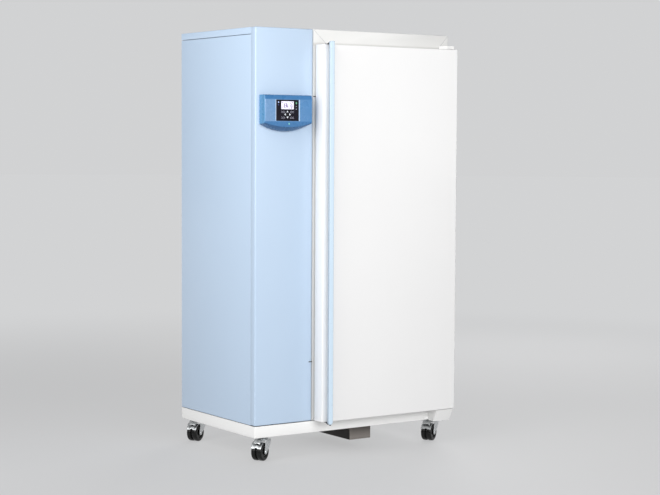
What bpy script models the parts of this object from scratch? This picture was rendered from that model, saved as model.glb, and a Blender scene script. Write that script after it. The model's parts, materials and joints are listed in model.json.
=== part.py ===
"""Tall cooled laboratory incubator on four braked swivel castors.

A blue technical column stands on the left and an insulated chamber with one full-height door on the
right. Both stand on one base. Metres, +Z up, front towards -Y. The origin is on the floor, under the
middle of the cabinet.
"""

from math import cos, pi, radians, sin

import bmesh
import bpy
from mathutils import Matrix, Vector

# ---------------------------------------------------------------- driving dimensions
WIDTH = 1.060
HEIGHT = 1.915
DEPTH = 0.771                      # handle front to rear panel
COLUMN_WIDTH = 0.302
CASTOR_HEIGHT = 0.105
BASE_TOP = 0.159
SHEET = 0.0015                     # outer sheet metal
GAP = 0.0003                       # between pieces that touch
CLEAR = 0.0015                     # between pieces that only stand near each other

LEFT, RIGHT = -WIDTH / 2, WIDTH / 2
BACK = DEPTH / 2
HANDLE_FRONT = -DEPTH / 2
FRONT = HANDLE_FRONT + 0.110       # front plane of the body
SPLIT = LEFT + COLUMN_WIDTH        # column to the left of it, chamber to the right
BODY_BOTTOM = BASE_TOP + GAP

# chamber
WALL = 0.113                       # casing to chamber on each side
SLOPE_WIDTH = 0.069                # sloping part of the surround
SLOPE_RISE = 0.009                 # how far the slope comes forward
LAND_EDGE = 0.093                  # inner edge of the flat land that the gasket meets
CHAMBER_LEFT, CHAMBER_RIGHT = SPLIT + WALL, RIGHT - WALL
CHAMBER_BOTTOM, CHAMBER_TOP = BODY_BOTTOM + WALL, HEIGHT - WALL
FLANGE_Y = FRONT + 0.008
CHAMBER_BACK = FRONT + 0.570
BAFFLE_Y = FRONT + 0.515

# door
DOOR_LEFT, DOOR_RIGHT = SPLIT + 0.0035, RIGHT - 0.002
DOOR_BOTTOM, DOOR_TOP = 0.1615, 1.847
DOOR_BACK, DOOR_FRONT = FRONT - 0.0145, FRONT - 0.078
HINGE_X, HINGE_Y = DOOR_RIGHT - 0.017, FRONT - 0.045
HANDLE_LEFT, HANDLE_WIDTH, HANDLE_THICK = DOOR_LEFT + 0.0095, 0.029, 0.012

# inner glass door
GLASS_X = CHAMBER_RIGHT + 0.009    # its hinge axis
GLASS_THICK = 0.006
GLASS_LEFT, GLASS_RIGHT = CHAMBER_LEFT - 0.017, GLASS_X + 0.006
GLASS_BOTTOM, GLASS_TOP = CHAMBER_BOTTOM - 0.006, CHAMBER_TOP + 0.006

# shelves
SHELF_LEFT, SHELF_RIGHT = CHAMBER_LEFT + 0.017, CHAMBER_RIGHT - 0.021
SHELF_FRONT, SHELF_BACK = FRONT + GLASS_THICK / 2 + 0.072, BAFFLE_Y - 0.010
SHELF_HEIGHTS = (0.560, 0.930, 1.300)
SHELF_THICK = 0.006

# control panel
PANEL_LEFT, PANEL_RIGHT = LEFT + 0.021, LEFT + 0.271
PANEL_TOP, PANEL_SIDE, PANEL_BOTTOM = 1.6205, 1.492, 1.460
PANEL_FRONT = FRONT - 0.043
FASCIA_X, FASCIA_Z = LEFT + 0.1395, 1.5525
FASCIA_WIDTH, FASCIA_HEIGHT = 0.118, 0.093
SCREEN_WIDTH, SCREEN_HEIGHT, SCREEN_RISE = 0.066, 0.0355, 0.0223

# castors
WHEEL_RADIUS, WHEEL_WIDTH = 0.040, 0.048
CASTOR_LEFT_X, CASTOR_RIGHT_X = LEFT + 0.066, RIGHT - 0.050
CASTOR_FRONT_Y, CASTOR_BACK_Y = FRONT + 0.042, BACK - 0.038
CASTOR_TRAIL = 0.022
CASTOR_HEADING = radians(210)      # the way the wheels trail

FINISHES = {                       # colour, metallic, roughness
    "blue_steel": ((0.60, 0.76, 0.92), 0.0, 0.35),
    "white_steel": ((0.87, 0.87, 0.86), 0.0, 0.35),
    "stainless": ((0.62, 0.60, 0.58), 1.0, 0.35),
    "galvanised": ((0.55, 0.57, 0.58), 1.0, 0.45),
    "dark_metal": ((0.05, 0.05, 0.055), 0.3, 0.45),
    "foam": ((0.80, 0.74, 0.55), 0.0, 0.9),
    "seal": ((0.45, 0.46, 0.48), 0.0, 0.6),
    "glass": ((0.85, 0.93, 0.92), 0.0, 0.05),
    "blue_plastic": ((0.13, 0.29, 0.56), 0.0, 0.35),
    "black_plastic": ((0.02, 0.018, 0.028), 0.0, 0.3),
    "white_plastic": ((0.85, 0.87, 0.90), 0.0, 0.35),
    "screen": ((0.83, 0.80, 0.90), 0.0, 0.2),
    "tread": ((0.015, 0.015, 0.016), 0.0, 0.5),
    "circuit": ((0.05, 0.22, 0.10), 0.0, 0.5),
    "copper_fins": ((0.70, 0.68, 0.66), 1.0, 0.4),
}


# ---------------------------------------------------------------- helpers
def clear_scene():
    for item in list(bpy.data.objects):
        bpy.data.objects.remove(item, do_unlink=True)


def collection(name):
    found = bpy.data.collections.new(name)
    bpy.context.scene.collection.children.link(found)
    return found


def material_for(name, finish):
    colour, metallic, roughness = FINISHES[finish]
    made = bpy.data.materials.new(name)
    made.use_nodes = True
    shader = made.node_tree.nodes["Principled BSDF"]
    shader.inputs["Base Color"].default_value = (*colour, 1.0)
    shader.inputs["Metallic"].default_value = metallic
    shader.inputs["Roughness"].default_value = roughness
    return made


def add_object(name, data, finish, parent=None):
    made = bpy.data.objects.new(name, data)
    data.materials.append(material_for(name, finish))
    parts.objects.link(made)
    if parent:
        made.parent = parent
    return made


def put(made, world):
    """Place an object at a world position, whatever its parent."""
    offset = Vector(world)
    if made.parent:
        offset -= made.parent.location
    made.location = offset


def mesh_from(bm, name):
    bmesh.ops.recalc_face_normals(bm, faces=bm.faces)
    data = bpy.data.meshes.new(name)
    bm.to_mesh(data)
    bm.free()
    return data


def cube_mesh(name, size):
    bm = bmesh.new()
    bmesh.ops.create_cube(bm, size=1.0)
    bmesh.ops.scale(bm, vec=size, verts=bm.verts)
    return mesh_from(bm, name)


def bevel(made, width, segments=1):
    modifier = made.modifiers.new("edges", "BEVEL")
    modifier.width = width
    modifier.segments = segments
    modifier.limit_method = "ANGLE"


def box(name, low, high, finish, parent=None, edge=0.0):
    size = [b - a for a, b in zip(low, high)]
    made = add_object(name, cube_mesh(name, size), finish, parent)
    put(made, [(a + b) / 2 for a, b in zip(low, high)])
    if edge:
        bevel(made, edge)
    return made


def tray(name, low, high, open_side, thickness, finish, parent=None, edge=0.0):
    """A box of sheet with one side left open, such as (2, 1) for the top."""
    size = [b - a for a, b in zip(low, high)]
    bm = bmesh.new()
    bmesh.ops.create_cube(bm, size=1.0)
    bmesh.ops.scale(bm, vec=size, verts=bm.verts)
    axis, sign = open_side
    gone = [face for face in bm.faces if face.normal[axis] * sign > 0.9]
    bmesh.ops.delete(bm, geom=gone, context="FACES_ONLY")
    upright = [e for e in bm.edges if not e.is_boundary]
    if edge:
        bmesh.ops.bevel(bm, geom=upright, offset=edge, segments=2, affect="EDGES", profile=0.5)
    data = bpy.data.meshes.new(name)
    bm.to_mesh(data)
    bm.free()
    made = add_object(name, data, finish, parent)
    put(made, [(a + b) / 2 for a, b in zip(low, high)])
    shell = made.modifiers.new("sheet", "SOLIDIFY")
    shell.thickness = thickness
    shell.offset = -1
    shell.use_even_offset = True
    return made


def rings(name, loops, thickness, finish, parent=None, fill_last=False):
    """A sheet through rectangles of different size and depth: each (left, right, bottom, top, y)."""
    bm = bmesh.new()
    rows = []
    for left, right, bottom, top, y in loops:
        corners = ((left, bottom), (right, bottom), (right, top), (left, top))
        rows.append([bm.verts.new((x, y, z)) for x, z in corners])
    for row, following in zip(rows, rows[1:]):
        for i in range(4):
            j = (i + 1) % 4
            bm.faces.new((row[i], row[j], following[j], following[i]))
    if fill_last:
        bm.faces.new(rows[-1])
    data = bpy.data.meshes.new(name)
    bm.to_mesh(data)
    bm.free()
    made = add_object(name, data, finish, parent)
    put(made, (0, 0, 0))
    shell = made.modifiers.new("sheet", "SOLIDIFY")
    shell.thickness = thickness
    shell.offset = -1
    shell.use_even_offset = True
    return made


AXIS_TURN = {
    "X": Matrix.Rotation(pi / 2, 4, "Y"),
    "Y": Matrix.Rotation(pi / 2, 4, "X"),
    "Z": Matrix.Identity(4),
}


def cylinder(name, centre, radius, length, axis, finish, parent=None, sides=20):
    bm = bmesh.new()
    bmesh.ops.create_cone(bm, cap_ends=True, segments=sides, radius1=radius, radius2=radius,
                          depth=length, matrix=AXIS_TURN[axis])
    made = add_object(name, mesh_from(bm, name), finish, parent)
    put(made, centre)
    made.data.shade_smooth()
    made.data.set_sharp_from_angle(angle=radians(40))
    return made


def turned(name, profile, centre, finish, parent=None, turn=None, steps=20):
    """A profile of (radius, height) from top to bottom, turned about Z, then laid over by turn."""
    bm = bmesh.new()
    verts = [bm.verts.new((radius, 0, height)) for radius, height in profile]
    for a, b in zip(verts, verts[1:]):
        bm.edges.new((a, b))
    data = bpy.data.meshes.new(name)
    bm.to_mesh(data)
    bm.free()
    made = add_object(name, data, finish, parent)
    put(made, centre)
    if turn is not None:
        made.rotation_euler = turn.to_euler()
    screw = made.modifiers.new("turned", "SCREW")
    screw.steps = screw.render_steps = steps
    screw.use_merge_vertices = True
    screw.merge_threshold = 0.00005
    screw.use_smooth_shade = False
    return made


def outline(name, loops, thickness, finish, centre, turn=None, parent=None):
    """Flat outlines (the first outside, the rest holes) in X and Y, made into a plate."""
    curve = bpy.data.curves.new(name, "CURVE")
    curve.dimensions = "2D"
    curve.fill_mode = "BOTH"
    curve.extrude = thickness / 2
    for loop in loops:
        spline = curve.splines.new("POLY")
        spline.points.add(len(loop) - 1)
        for point, (x, y) in zip(spline.points, loop):
            point.co = (x, y, 0, 1)
        spline.use_cyclic_u = True
    made = add_object(name, curve, finish, parent)
    put(made, centre)
    if turn is not None:
        made.rotation_euler = turn.to_euler()
    return made


UPRIGHT = Matrix.Rotation(pi / 2, 3, "X")                       # a plate drawn in X and Z
SIDEWAYS = Matrix(((0, 0, 1), (1, 0, 0), (0, 1, 0)))            # a profile drawn in Y and Z


def rectangle(left, right, bottom, top):
    return [(left, bottom), (right, bottom), (right, top), (left, top)]


def centred(x, y, width, height):
    return rectangle(x - width / 2, x + width / 2, y - height / 2, y + height / 2)


def circle(x, y, radius, sides=24, start=0.0):
    return [(x + radius * cos(start + 2 * pi * i / sides), y + radius * sin(start + 2 * pi * i / sides))
            for i in range(sides)]


def cutter(name, data, location, turn=None):
    made = bpy.data.objects.new(name, data)
    cutters.objects.link(made)
    made.location = location
    if turn is not None:
        made.rotation_euler = turn.to_euler()
    made.hide_render = True
    made.display_type = "WIRE"
    return made


def box_cutter(name, low, high):
    size = [b - a for a, b in zip(low, high)]
    return cutter(name, cube_mesh(name, size), [(a + b) / 2 for a, b in zip(low, high)])


def round_cutter(name, centre, radius, length, axis="Z", sides=20):
    bm = bmesh.new()
    bmesh.ops.create_cone(bm, cap_ends=True, segments=sides, radius1=radius, radius2=radius,
                          depth=length, matrix=AXIS_TURN[axis])
    return cutter(name, mesh_from(bm, name), centre)


def boolean(made, tool, operation="DIFFERENCE"):
    modifier = made.modifiers.new(tool.name, "BOOLEAN")
    modifier.operation = operation
    modifier.object = tool
    modifier.solver = "EXACT"


def solid_from_curve(made):
    """Make a curve object a welded mesh, so that it can be cut or joined."""
    bpy.context.view_layer.update()
    evaluated = made.evaluated_get(bpy.context.evaluated_depsgraph_get())
    data = bpy.data.meshes.new_from_object(evaluated)
    bm = bmesh.new()
    bm.from_mesh(data)
    bmesh.ops.remove_doubles(bm, verts=bm.verts, dist=0.00001)
    bmesh.ops.recalc_face_normals(bm, faces=bm.faces)
    bm.to_mesh(data)
    bm.free()
    name = made.name
    place = made.matrix_world.copy()
    parent = made.parent
    home = made.users_collection[0]
    bpy.data.objects.remove(made, do_unlink=True)
    solid = bpy.data.objects.new(name, data)
    home.objects.link(solid)
    if parent:
        solid.parent = parent
        solid.matrix_parent_inverse = parent.matrix_world.inverted()
    solid.matrix_world = place
    return solid


def axis_empty(name, location, angle=0.0):
    made = bpy.data.objects.new(name, None)
    parts.objects.link(made)
    made.location = location
    made.rotation_euler = (0, 0, angle)
    return made


# ---------------------------------------------------------------- base and casings
def base():
    """Base pan, open to the top, with the lower hinge console on its front."""
    tray("base_frame", (LEFT, FRONT, CASTOR_HEIGHT), (RIGHT, BACK, BASE_TOP), (2, 1), 0.002,
         "white_steel", edge=0.003)
    low, high = CASTOR_HEIGHT - 0.003, BASE_TOP - 0.0005
    profile = [(-GAP, low), (-0.039, low), (-0.068, high), (-GAP, high)]
    width = 0.096
    console = outline("lower_hinge_console", [profile], width, "white_steel",
                      (DOOR_RIGHT - width / 2, FRONT, 0), SIDEWAYS)
    console = solid_from_curve(console)
    boolean(console, round_cutter("lower_pin_hole", (HINGE_X, HINGE_Y, BASE_TOP - 0.009), 0.0062, 0.044))


def column():
    """Blue column: folded front panel, side panel, top cover and vented rear panel."""
    right = SPLIT - 0.001
    fold = FRONT + 0.036
    tray("column_front_panel", (LEFT, FRONT, BODY_BOTTOM), (right, fold, HEIGHT), (1, 1), SHEET,
         "blue_steel", edge=0.004)
    slit = 0.0022
    cover_bottom = HEIGHT - 0.030
    side_top = cover_bottom - slit
    box("column_left_panel", (LEFT, fold + 0.001, BODY_BOTTOM), (LEFT + SHEET, BACK - 0.002, side_top),
        "blue_steel")
    tray("column_top_cover", (LEFT, fold + 0.001, cover_bottom), (right, BACK, HEIGHT), (2, -1), SHEET,
         "blue_steel", edge=0.002)
    left = LEFT + SHEET + GAP
    slots = []
    for i in range(8):
        z = 0.24 + i * 0.038
        slots.append(rectangle(left + 0.045, right - 0.045, z, z + 0.012))
    slots.append(rectangle(left + 0.0300, left + 0.0620, 0.660, 0.682))
    slots.append(rectangle(left + 0.0900, left + 0.1120, 0.662, 0.680))
    panel = [rectangle(left, right, BODY_BOTTOM, side_top)] + slots
    outline("column_rear_panel", panel, SHEET, "galvanised", (0, BACK - SHEET / 2 - 0.001, 0), UPRIGHT)


def casing():
    """White chamber casing: one sheet over both sides and the top, and a rear panel."""
    tray("chamber_casing", (SPLIT, FRONT + 0.0056, BODY_BOTTOM), (RIGHT, BACK, HEIGHT), (2, -1), SHEET,
         "white_steel", edge=0.003)
    shell = bpy.data.objects["chamber_casing"]
    inside = (SPLIT + SHEET, RIGHT - SHEET)
    boolean(shell, box_cutter("casing_front_cut", (inside[0], FRONT - 0.05, BODY_BOTTOM - 0.01),
                              (inside[1], FRONT + 0.02, HEIGHT - SHEET)))
    boolean(shell, box_cutter("casing_back_cut", (inside[0], BACK - 0.01, BODY_BOTTOM - 0.01),
                              (inside[1], BACK + 0.02, HEIGHT - SHEET)))
    box("chamber_rear_panel", (inside[0] + GAP, BACK - 0.0125, BODY_BOTTOM),
        (inside[1] - GAP, BACK - 0.011, HEIGHT - SHEET - 0.004), "galvanised")


def surround():
    """Picture frame round the chamber: a slope, a flat land for the gasket and a return."""
    def ring(inset, y):
        return (SPLIT + inset, RIGHT - inset, BODY_BOTTOM + inset, HEIGHT - inset, y)

    land = FRONT - SLOPE_RISE
    rings("chamber_surround",
          [ring(0, FRONT + 0.005), ring(0, FRONT), ring(SLOPE_WIDTH, land), ring(LAND_EDGE, land),
           ring(LAND_EDGE, FRONT + 0.007)], 0.0012, "white_steel")


def chamber():
    """Stainless inner chamber with its front flange, and the insulation round it."""
    steel = 0.001

    def ring(out, y):
        return (CHAMBER_LEFT - out, CHAMBER_RIGHT + out, CHAMBER_BOTTOM - out, CHAMBER_TOP + out, y)

    rings("inner_chamber", [ring(0.0225, FLANGE_Y), ring(0, FLANGE_Y), ring(0, CHAMBER_BACK)], steel,
          "stainless", fill_last=True)
    room = steel + CLEAR
    foam = box("insulation", (SPLIT + SHEET + CLEAR, FLANGE_Y + 0.003, BODY_BOTTOM + CLEAR),
               (RIGHT - SHEET - CLEAR, BACK - 0.0125 - CLEAR, HEIGHT - SHEET - CLEAR), "foam")
    boolean(foam, box_cutter("chamber_space", (CHAMBER_LEFT - room, FRONT - 0.1, CHAMBER_BOTTOM - room),
                             (CHAMBER_RIGHT + room, CHAMBER_BACK + room, CHAMBER_TOP + room)))


def rail(name, wall, side):
    """Upright strip with one ledge under each shelf; side is +1 on the left wall, -1 on the right."""
    thick, reach = 0.0015, 0.026
    bottom, top = CHAMBER_BOTTOM + 0.030, CHAMBER_TOP - 0.030
    profile = [(0, bottom), (thick, bottom)]
    for height in SHELF_HEIGHTS:
        ledge = height - GAP
        profile += [(thick, ledge - 0.012), (reach, ledge - thick), (reach, ledge), (thick, ledge)]
    profile += [(thick, top), (0, top)]
    profile = [(side * x, z) for x, z in profile]
    length = SHELF_BACK - SHELF_FRONT - 0.02
    outline(name, [profile], length, "stainless",
            (wall + side * GAP, (SHELF_FRONT + SHELF_BACK) / 2, 0), UPRIGHT)


def shelf(name, height):
    """Flat rack: a rim and slots between its bars."""
    margin, bars = 0.014, 9
    left, right = SHELF_LEFT + margin, SHELF_RIGHT - margin
    pitch = (right - left) / bars
    middle = (SHELF_FRONT + SHELF_BACK) / 2
    loops = [rectangle(SHELF_LEFT, SHELF_RIGHT, SHELF_FRONT, SHELF_BACK)]
    for i in range(bars):
        x = left + i * pitch
        loops.append(rectangle(x + 0.002, x + pitch - 0.002, SHELF_FRONT + margin, middle - 0.003))
        loops.append(rectangle(x + 0.002, x + pitch - 0.002, middle + 0.003, SHELF_BACK - margin))
    outline(name, loops, SHELF_THICK, "stainless", (0, 0, height + SHELF_THICK / 2))


def impeller(blades, radius, hub):
    """Outline of a fan wheel seen along its shaft."""
    points = []
    for i in range(blades):
        start = 2 * pi * i / blades
        for turn, r in ((0.0, hub), (0.10, radius * 0.7), (0.26, radius), (0.62, radius * 0.94),
                        (0.62, radius * 0.6), (0.55, hub)):
            angle = start + turn * 2 * pi / blades * 1.25
            points.append((r * cos(angle), r * sin(angle)))
    return points


def comb(length, height, fins, fin):
    """Outline of a finned block: a back strip with fins standing on it."""
    pitch = length / fins
    points = [(-length / 2, 0)]
    for i in range(fins):
        x = -length / 2 + i * pitch
        points += [(x, height), (x + fin, height), (x + fin, 0.006), (x + pitch, 0.006)]
    points[-1] = (length / 2, 0.006)
    points.append((length / 2, 0))
    return points


FAN_X, FAN_Z = (CHAMBER_LEFT + CHAMBER_RIGHT) / 2, 1.05
CONDENSER_FAN = (LEFT + 0.150, 0.22, 0.40)


def climate():
    """Baffle, circulation fan and cooling block at the back of the chamber."""
    edge = 0.002
    low, high = CHAMBER_BOTTOM + edge, CHAMBER_TOP - edge
    left, right = CHAMBER_LEFT + edge, CHAMBER_RIGHT - edge
    loops = [rectangle(left, right, low, high), circle(FAN_X, FAN_Z, 0.075, 32)]
    for i in range(6):
        x = left + 0.075 + i * 0.070
        loops.append(rectangle(x, x + 0.040, low + 0.03, low + 0.045))
        loops.append(rectangle(x, x + 0.040, high - 0.045, high - 0.03))
    outline("rear_baffle", loops, SHEET, "stainless", (0, BAFFLE_Y, 0), UPRIGHT)
    cylinder("fan_motor", (FAN_X, CHAMBER_BACK - 0.0155, FAN_Z), 0.035, 0.029, "Y", "dark_metal")
    outline("chamber_fan", [impeller(6, 0.070, 0.018)], 0.014, "black_plastic",
            (FAN_X, CHAMBER_BACK - 0.040, FAN_Z), UPRIGHT)
    outline("evaporator", [comb(0.440, 0.034, 22, 0.006)], 0.30, "copper_fins",
            (FAN_X, CHAMBER_BACK - 0.004, 0.62), Matrix.Rotation(pi, 3, "X"))


def refrigeration():
    """Compressor, condenser and its fan at the bottom of the column, and the controller board."""
    floor = CASTOR_HEIGHT + 0.002 + GAP
    can = [(0.0, 0.205), (0.045, 0.198), (0.075, 0.175), (0.085, 0.140), (0.087, 0.095),
           (0.085, 0.050), (0.075, 0.018), (0.050, 0.0), (0.0, 0.0)]
    turned("compressor", can, (LEFT + 0.150, -0.05, floor), "dark_metal", steps=24)
    outline("condenser", [comb(0.240, 0.045, 16, 0.005)], 0.30, "copper_fins",
            (LEFT + 0.150, BACK - 0.055, 0.40))
    outline("condenser_fan", [impeller(5, 0.095, 0.022)], 0.022, "dark_metal", CONDENSER_FAN, UPRIGHT)
    box("controller_board", (PANEL_LEFT + 0.02, FRONT + 0.030, 1.30), (PANEL_RIGHT - 0.02, FRONT + 0.034, 1.64),
        "circuit")


def rear_electrics():
    """Mains inlet and rocker switch on the column's rear panel."""
    left = LEFT + SHEET + GAP
    back = BACK - 0.0025
    inlet = tray("mains_inlet", (left + 0.0310, BACK - 0.028, 0.6610), (left + 0.0610, back + 0.0022, 0.6810),
                 (1, 1), 0.0015, "black_plastic")
    boolean(inlet, box_cutter("inlet_trim", (left, back + 0.0022, 0.6), (left + 0.1, back + 0.05, 0.7)))
    axis = axis_empty("mains_switch_axis", (left + 0.101, BACK - 0.008, 0.671))
    profile = [(-0.006, -0.0075), (0.0045, -0.0075), (0.0062, 0.0), (0.0068, 0.0078), (-0.006, 0.0078)]
    outline("mains_switch", [profile], 0.018, "black_plastic", axis.location, SIDEWAYS, parent=axis)


# ---------------------------------------------------------------- control panel
def housing_outline():
    """Straight top and sides, and a bottom that is one flat arc."""
    half = (PANEL_RIGHT - PANEL_LEFT) / 2
    sag = PANEL_SIDE - PANEL_BOTTOM
    radius = (half * half + sag * sag) / (2 * sag)
    centre = ((PANEL_LEFT + PANEL_RIGHT) / 2, PANEL_BOTTOM + radius)
    reach = 12
    points = [(PANEL_RIGHT, PANEL_TOP), (PANEL_LEFT, PANEL_TOP)]
    for i in range(reach + 1):
        x = PANEL_LEFT + (PANEL_RIGHT - PANEL_LEFT) * i / reach
        across = x - centre[0]
        points.append((x, centre[1] - (radius * radius - across * across) ** 0.5))
    return points


KEY_X, KEY_Z = FASCIA_X + 0.0008, FASCIA_Z - 0.0181
KEY_STEP = 0.0120
KEYS = {"key_up": (0, 1), "key_down": (0, -1), "key_left": (-1, 0), "key_right": (1, 0),
        "key_centre": (0, 0)}


def key_outline(direction, size):
    """A triangle pointing outwards, or a round key in the middle."""
    across, up = direction
    if direction == (0, 0):
        return circle(0, 0, size, 16)
    tip = Vector((across, up)) * size
    side = Vector((-up, across)) * size
    back = -tip * 0.55
    return [tuple(tip), tuple(back + side), tuple(back - side)]


def control_panel():
    depth = FRONT - GAP - PANEL_FRONT
    housing = outline("control_housing", [housing_outline()], depth, "blue_plastic",
                      (0, PANEL_FRONT + depth / 2, 0), UPRIGHT)
    housing = solid_from_curve(housing)
    modifier = housing.modifiers.new("front_edge", "BEVEL")
    modifier.width = 0.006
    modifier.segments = 2
    modifier.limit_method = "ANGLE"
    modifier.angle_limit = radians(60)
    half, tall = FASCIA_WIDTH / 2, FASCIA_HEIGHT / 2
    boolean(housing, box_cutter("fascia_recess", (FASCIA_X - half, PANEL_FRONT - 0.02, FASCIA_Z - tall),
                                (FASCIA_X + half, PANEL_FRONT + 0.009, FASCIA_Z + tall)))
    front, back = PANEL_FRONT + 0.0010, PANEL_FRONT + 0.0034
    screen = centred(FASCIA_X + 0.0008, FASCIA_Z + SCREEN_RISE, SCREEN_WIDTH, SCREEN_HEIGHT)
    loops = [centred(FASCIA_X, FASCIA_Z, FASCIA_WIDTH - 2 * GAP, FASCIA_HEIGHT - 2 * GAP), screen]
    for direction in KEYS.values():
        across, up = direction
        shape = key_outline(direction, 0.0066)
        loops.append([(KEY_X + across * KEY_STEP + x, KEY_Z + up * KEY_STEP + z) for x, z in shape])
    outline("control_fascia", loops, back - front, "black_plastic", (0, (front + back) / 2, 0), UPRIGHT)
    inner = centred(FASCIA_X + 0.0008, FASCIA_Z + SCREEN_RISE, SCREEN_WIDTH - 2 * GAP,
                    SCREEN_HEIGHT - 2 * GAP)
    outline("display", [inner], 0.0020, "screen", (0, front + 0.0016, 0), UPRIGHT)
    for name, (across, up) in KEYS.items():
        place = (KEY_X + across * KEY_STEP, front + 0.0020, KEY_Z + up * KEY_STEP)
        finish = "black_plastic" if (across, up) == (0, 0) else "white_plastic"
        outline(name, [key_outline((across, up), 0.0058)], 0.0046, finish, place, UPRIGHT)


# ---------------------------------------------------------------- doors
def door():
    hinge = axis_empty("door_axis", (HINGE_X, HINGE_Y, 0))
    tray("door_skin", (DOOR_LEFT, DOOR_FRONT, DOOR_BOTTOM), (DOOR_RIGHT, DOOR_BACK - 0.0015, DOOR_TOP),
         (1, 1), 0.0012, "white_steel", hinge, edge=0.0015)

    def ring(inset, y):
        return (DOOR_LEFT + inset, DOOR_RIGHT - inset, DOOR_BOTTOM + inset, DOOR_TOP - inset, y)

    liner = rings("door_liner", [ring(0.001, DOOR_BACK), ring(0.108, DOOR_BACK),
                                 ring(0.116, DOOR_BACK - 0.009)], 0.0012, "white_steel", hinge,
                  fill_last=True)
    liner.modifiers["sheet"].offset = 1
    box("door_insulation", (DOOR_LEFT + 0.002, DOOR_FRONT + 0.002, DOOR_BOTTOM + 0.002),
        (DOOR_RIGHT - 0.002, DOOR_BACK - 0.0125, DOOR_TOP - 0.002), "foam", hinge)
    gasket_outer, gasket_inner = 0.071, 0.091
    land = FRONT - SLOPE_RISE
    loops = [rectangle(SPLIT + inset, RIGHT - inset, BODY_BOTTOM + inset, HEIGHT - inset)
             for inset in (gasket_outer, gasket_inner)]
    low, high = DOOR_BACK + GAP, land - GAP
    outline("door_gasket", loops, high - low, "seal", (0, (low + high) / 2, 0), UPRIGHT, parent=hinge)
    handle(hinge)
    hinge_pin("hinge_pin_lower", DOOR_BOTTOM - GAP, -1, 0.0058, 0.028, hinge)
    hinge_pin("hinge_pin_upper", DOOR_TOP + GAP, 1, 0.0058, 0.015, hinge)


def hinge_pin(name, start, way, radius, length, hinge):
    """A pin with a washer at the door: way is +1 where it points up."""
    washer = 0.0014
    profile = [(0.0, length), (radius, length), (radius, washer), (0.010, washer), (0.010, 0.0), (0.0, 0.0)]
    turn = None if way > 0 else Matrix.Rotation(pi, 3, "X")
    turned(name, profile, (HINGE_X, HINGE_Y, start), "stainless", hinge, turn, steps=16)


def handle(hinge):
    """Full-height bar of rounded section, held by a tab over the door's top and bottom edges."""
    half_x, half_y, corner = HANDLE_WIDTH / 2, HANDLE_THICK / 2, 0.0055
    points = []
    for sx, sy, start in ((1, 1, 0), (-1, 1, 1), (-1, -1, 2), (1, -1, 3)):
        for step in range(4):
            angle = pi / 2 * (start + step / 3)
            points.append((sx * (half_x - corner) + corner * cos(angle),
                           sy * (half_y - corner) + corner * sin(angle)))
    over = 0.0125
    low, high = DOOR_BOTTOM - over, DOOR_TOP + over
    x = HANDLE_LEFT + half_x
    outline("handle_bar", [points], high - low, "blue_steel",
            (x, HANDLE_FRONT + half_y, (low + high) / 2), parent=hinge)
    tab_thick, tab_half = 0.005, 0.011
    behind = HANDLE_FRONT + HANDLE_THICK + GAP
    reach = DOOR_FRONT + 0.020
    for name, z, way in (("handle_bracket_top", DOOR_TOP + GAP, 1),
                         ("handle_bracket_bottom", DOOR_BOTTOM - GAP, -1)):
        low_z, high_z = sorted((z, z + way * tab_thick))
        box(name, (x - tab_half, behind, low_z), (x + tab_half, reach, high_z), "dark_metal", hinge)


def upper_bracket():
    """Plate above the door with its left side cut back to the surround."""
    thick = 0.014
    low = DOOR_TOP + GAP + 0.0020
    right = DOOR_RIGHT - 0.002
    back = FRONT - SLOPE_RISE * (HEIGHT - low) / SLOPE_WIDTH - GAP
    front = HINGE_Y - 0.0125
    plan = [(right - 0.057, back), (right, back), (right, front), (right - 0.043, front)]
    plate = outline("upper_hinge_bracket", [plan[::-1]], thick, "white_steel", (0, 0, low + thick / 2))
    plate = solid_from_curve(plate)
    boolean(plate, round_cutter("upper_pin_hole", (HINGE_X, HINGE_Y, low + thick / 2), 0.0062, 0.05))


def glass_door():
    """Frameless pane that swings on a clamp and pin at each right-hand corner."""
    hinge = axis_empty("glass_axis", (GLASS_X, FRONT, 0))
    half = GLASS_THICK / 2
    box("glass_pane", (GLASS_LEFT, FRONT - half, GLASS_BOTTOM), (GLASS_RIGHT, FRONT + half, GLASS_TOP),
        "glass", hinge)
    for name, edge_z, way in (("glass_clamp_top", GLASS_TOP, 1), ("glass_clamp_bottom", GLASS_BOTTOM, -1)):
        low_z, high_z = sorted((edge_z - way * 0.030, edge_z + way * 0.003))
        clamp = box(name, (GLASS_X - 0.030, FRONT - half - 0.0022, low_z),
                    (GLASS_X + 0.0040, FRONT + half + 0.0022, high_z), "stainless", hinge)
        slot_low, slot_high = sorted((edge_z - way * 0.060, edge_z + way * GAP))
        boolean(clamp, box_cutter(name + "_slot", (GLASS_X - 0.08, FRONT - half - GAP, slot_low),
                                  (GLASS_RIGHT + GAP, FRONT + half + GAP, slot_high)))
        boolean(clamp, round_cutter(name + "_pin", (GLASS_X, FRONT, edge_z + way * 0.0055), 0.0025, 0.009,
                                    sides=12), "UNION")


# ---------------------------------------------------------------- tray and castors
def drip_tray():
    """Stainless condensate tray that hangs under the base and pulls out to the front."""
    tray("drip_tray", (LEFT + 0.5185, FRONT + 0.012, 0.0485), (LEFT + 0.6365, FRONT + 0.412, 0.1035),
         (2, 1), 0.0012, "stainless")


def wheel_profile():
    """Half section of a double-tread wheel, from one side to the other."""
    half, rim = WHEEL_WIDTH / 2, WHEEL_RADIUS
    return [(0.0, half + 0.0016), (0.008, half + 0.0016), (0.008, half - 0.003), (0.022, half - 0.003),
            (0.024, half), (rim - 0.005, half), (rim - 0.0015, half - 0.002), (rim, half - 0.007),
            (rim, 0.004), (rim - 0.004, 0.002)]


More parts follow.
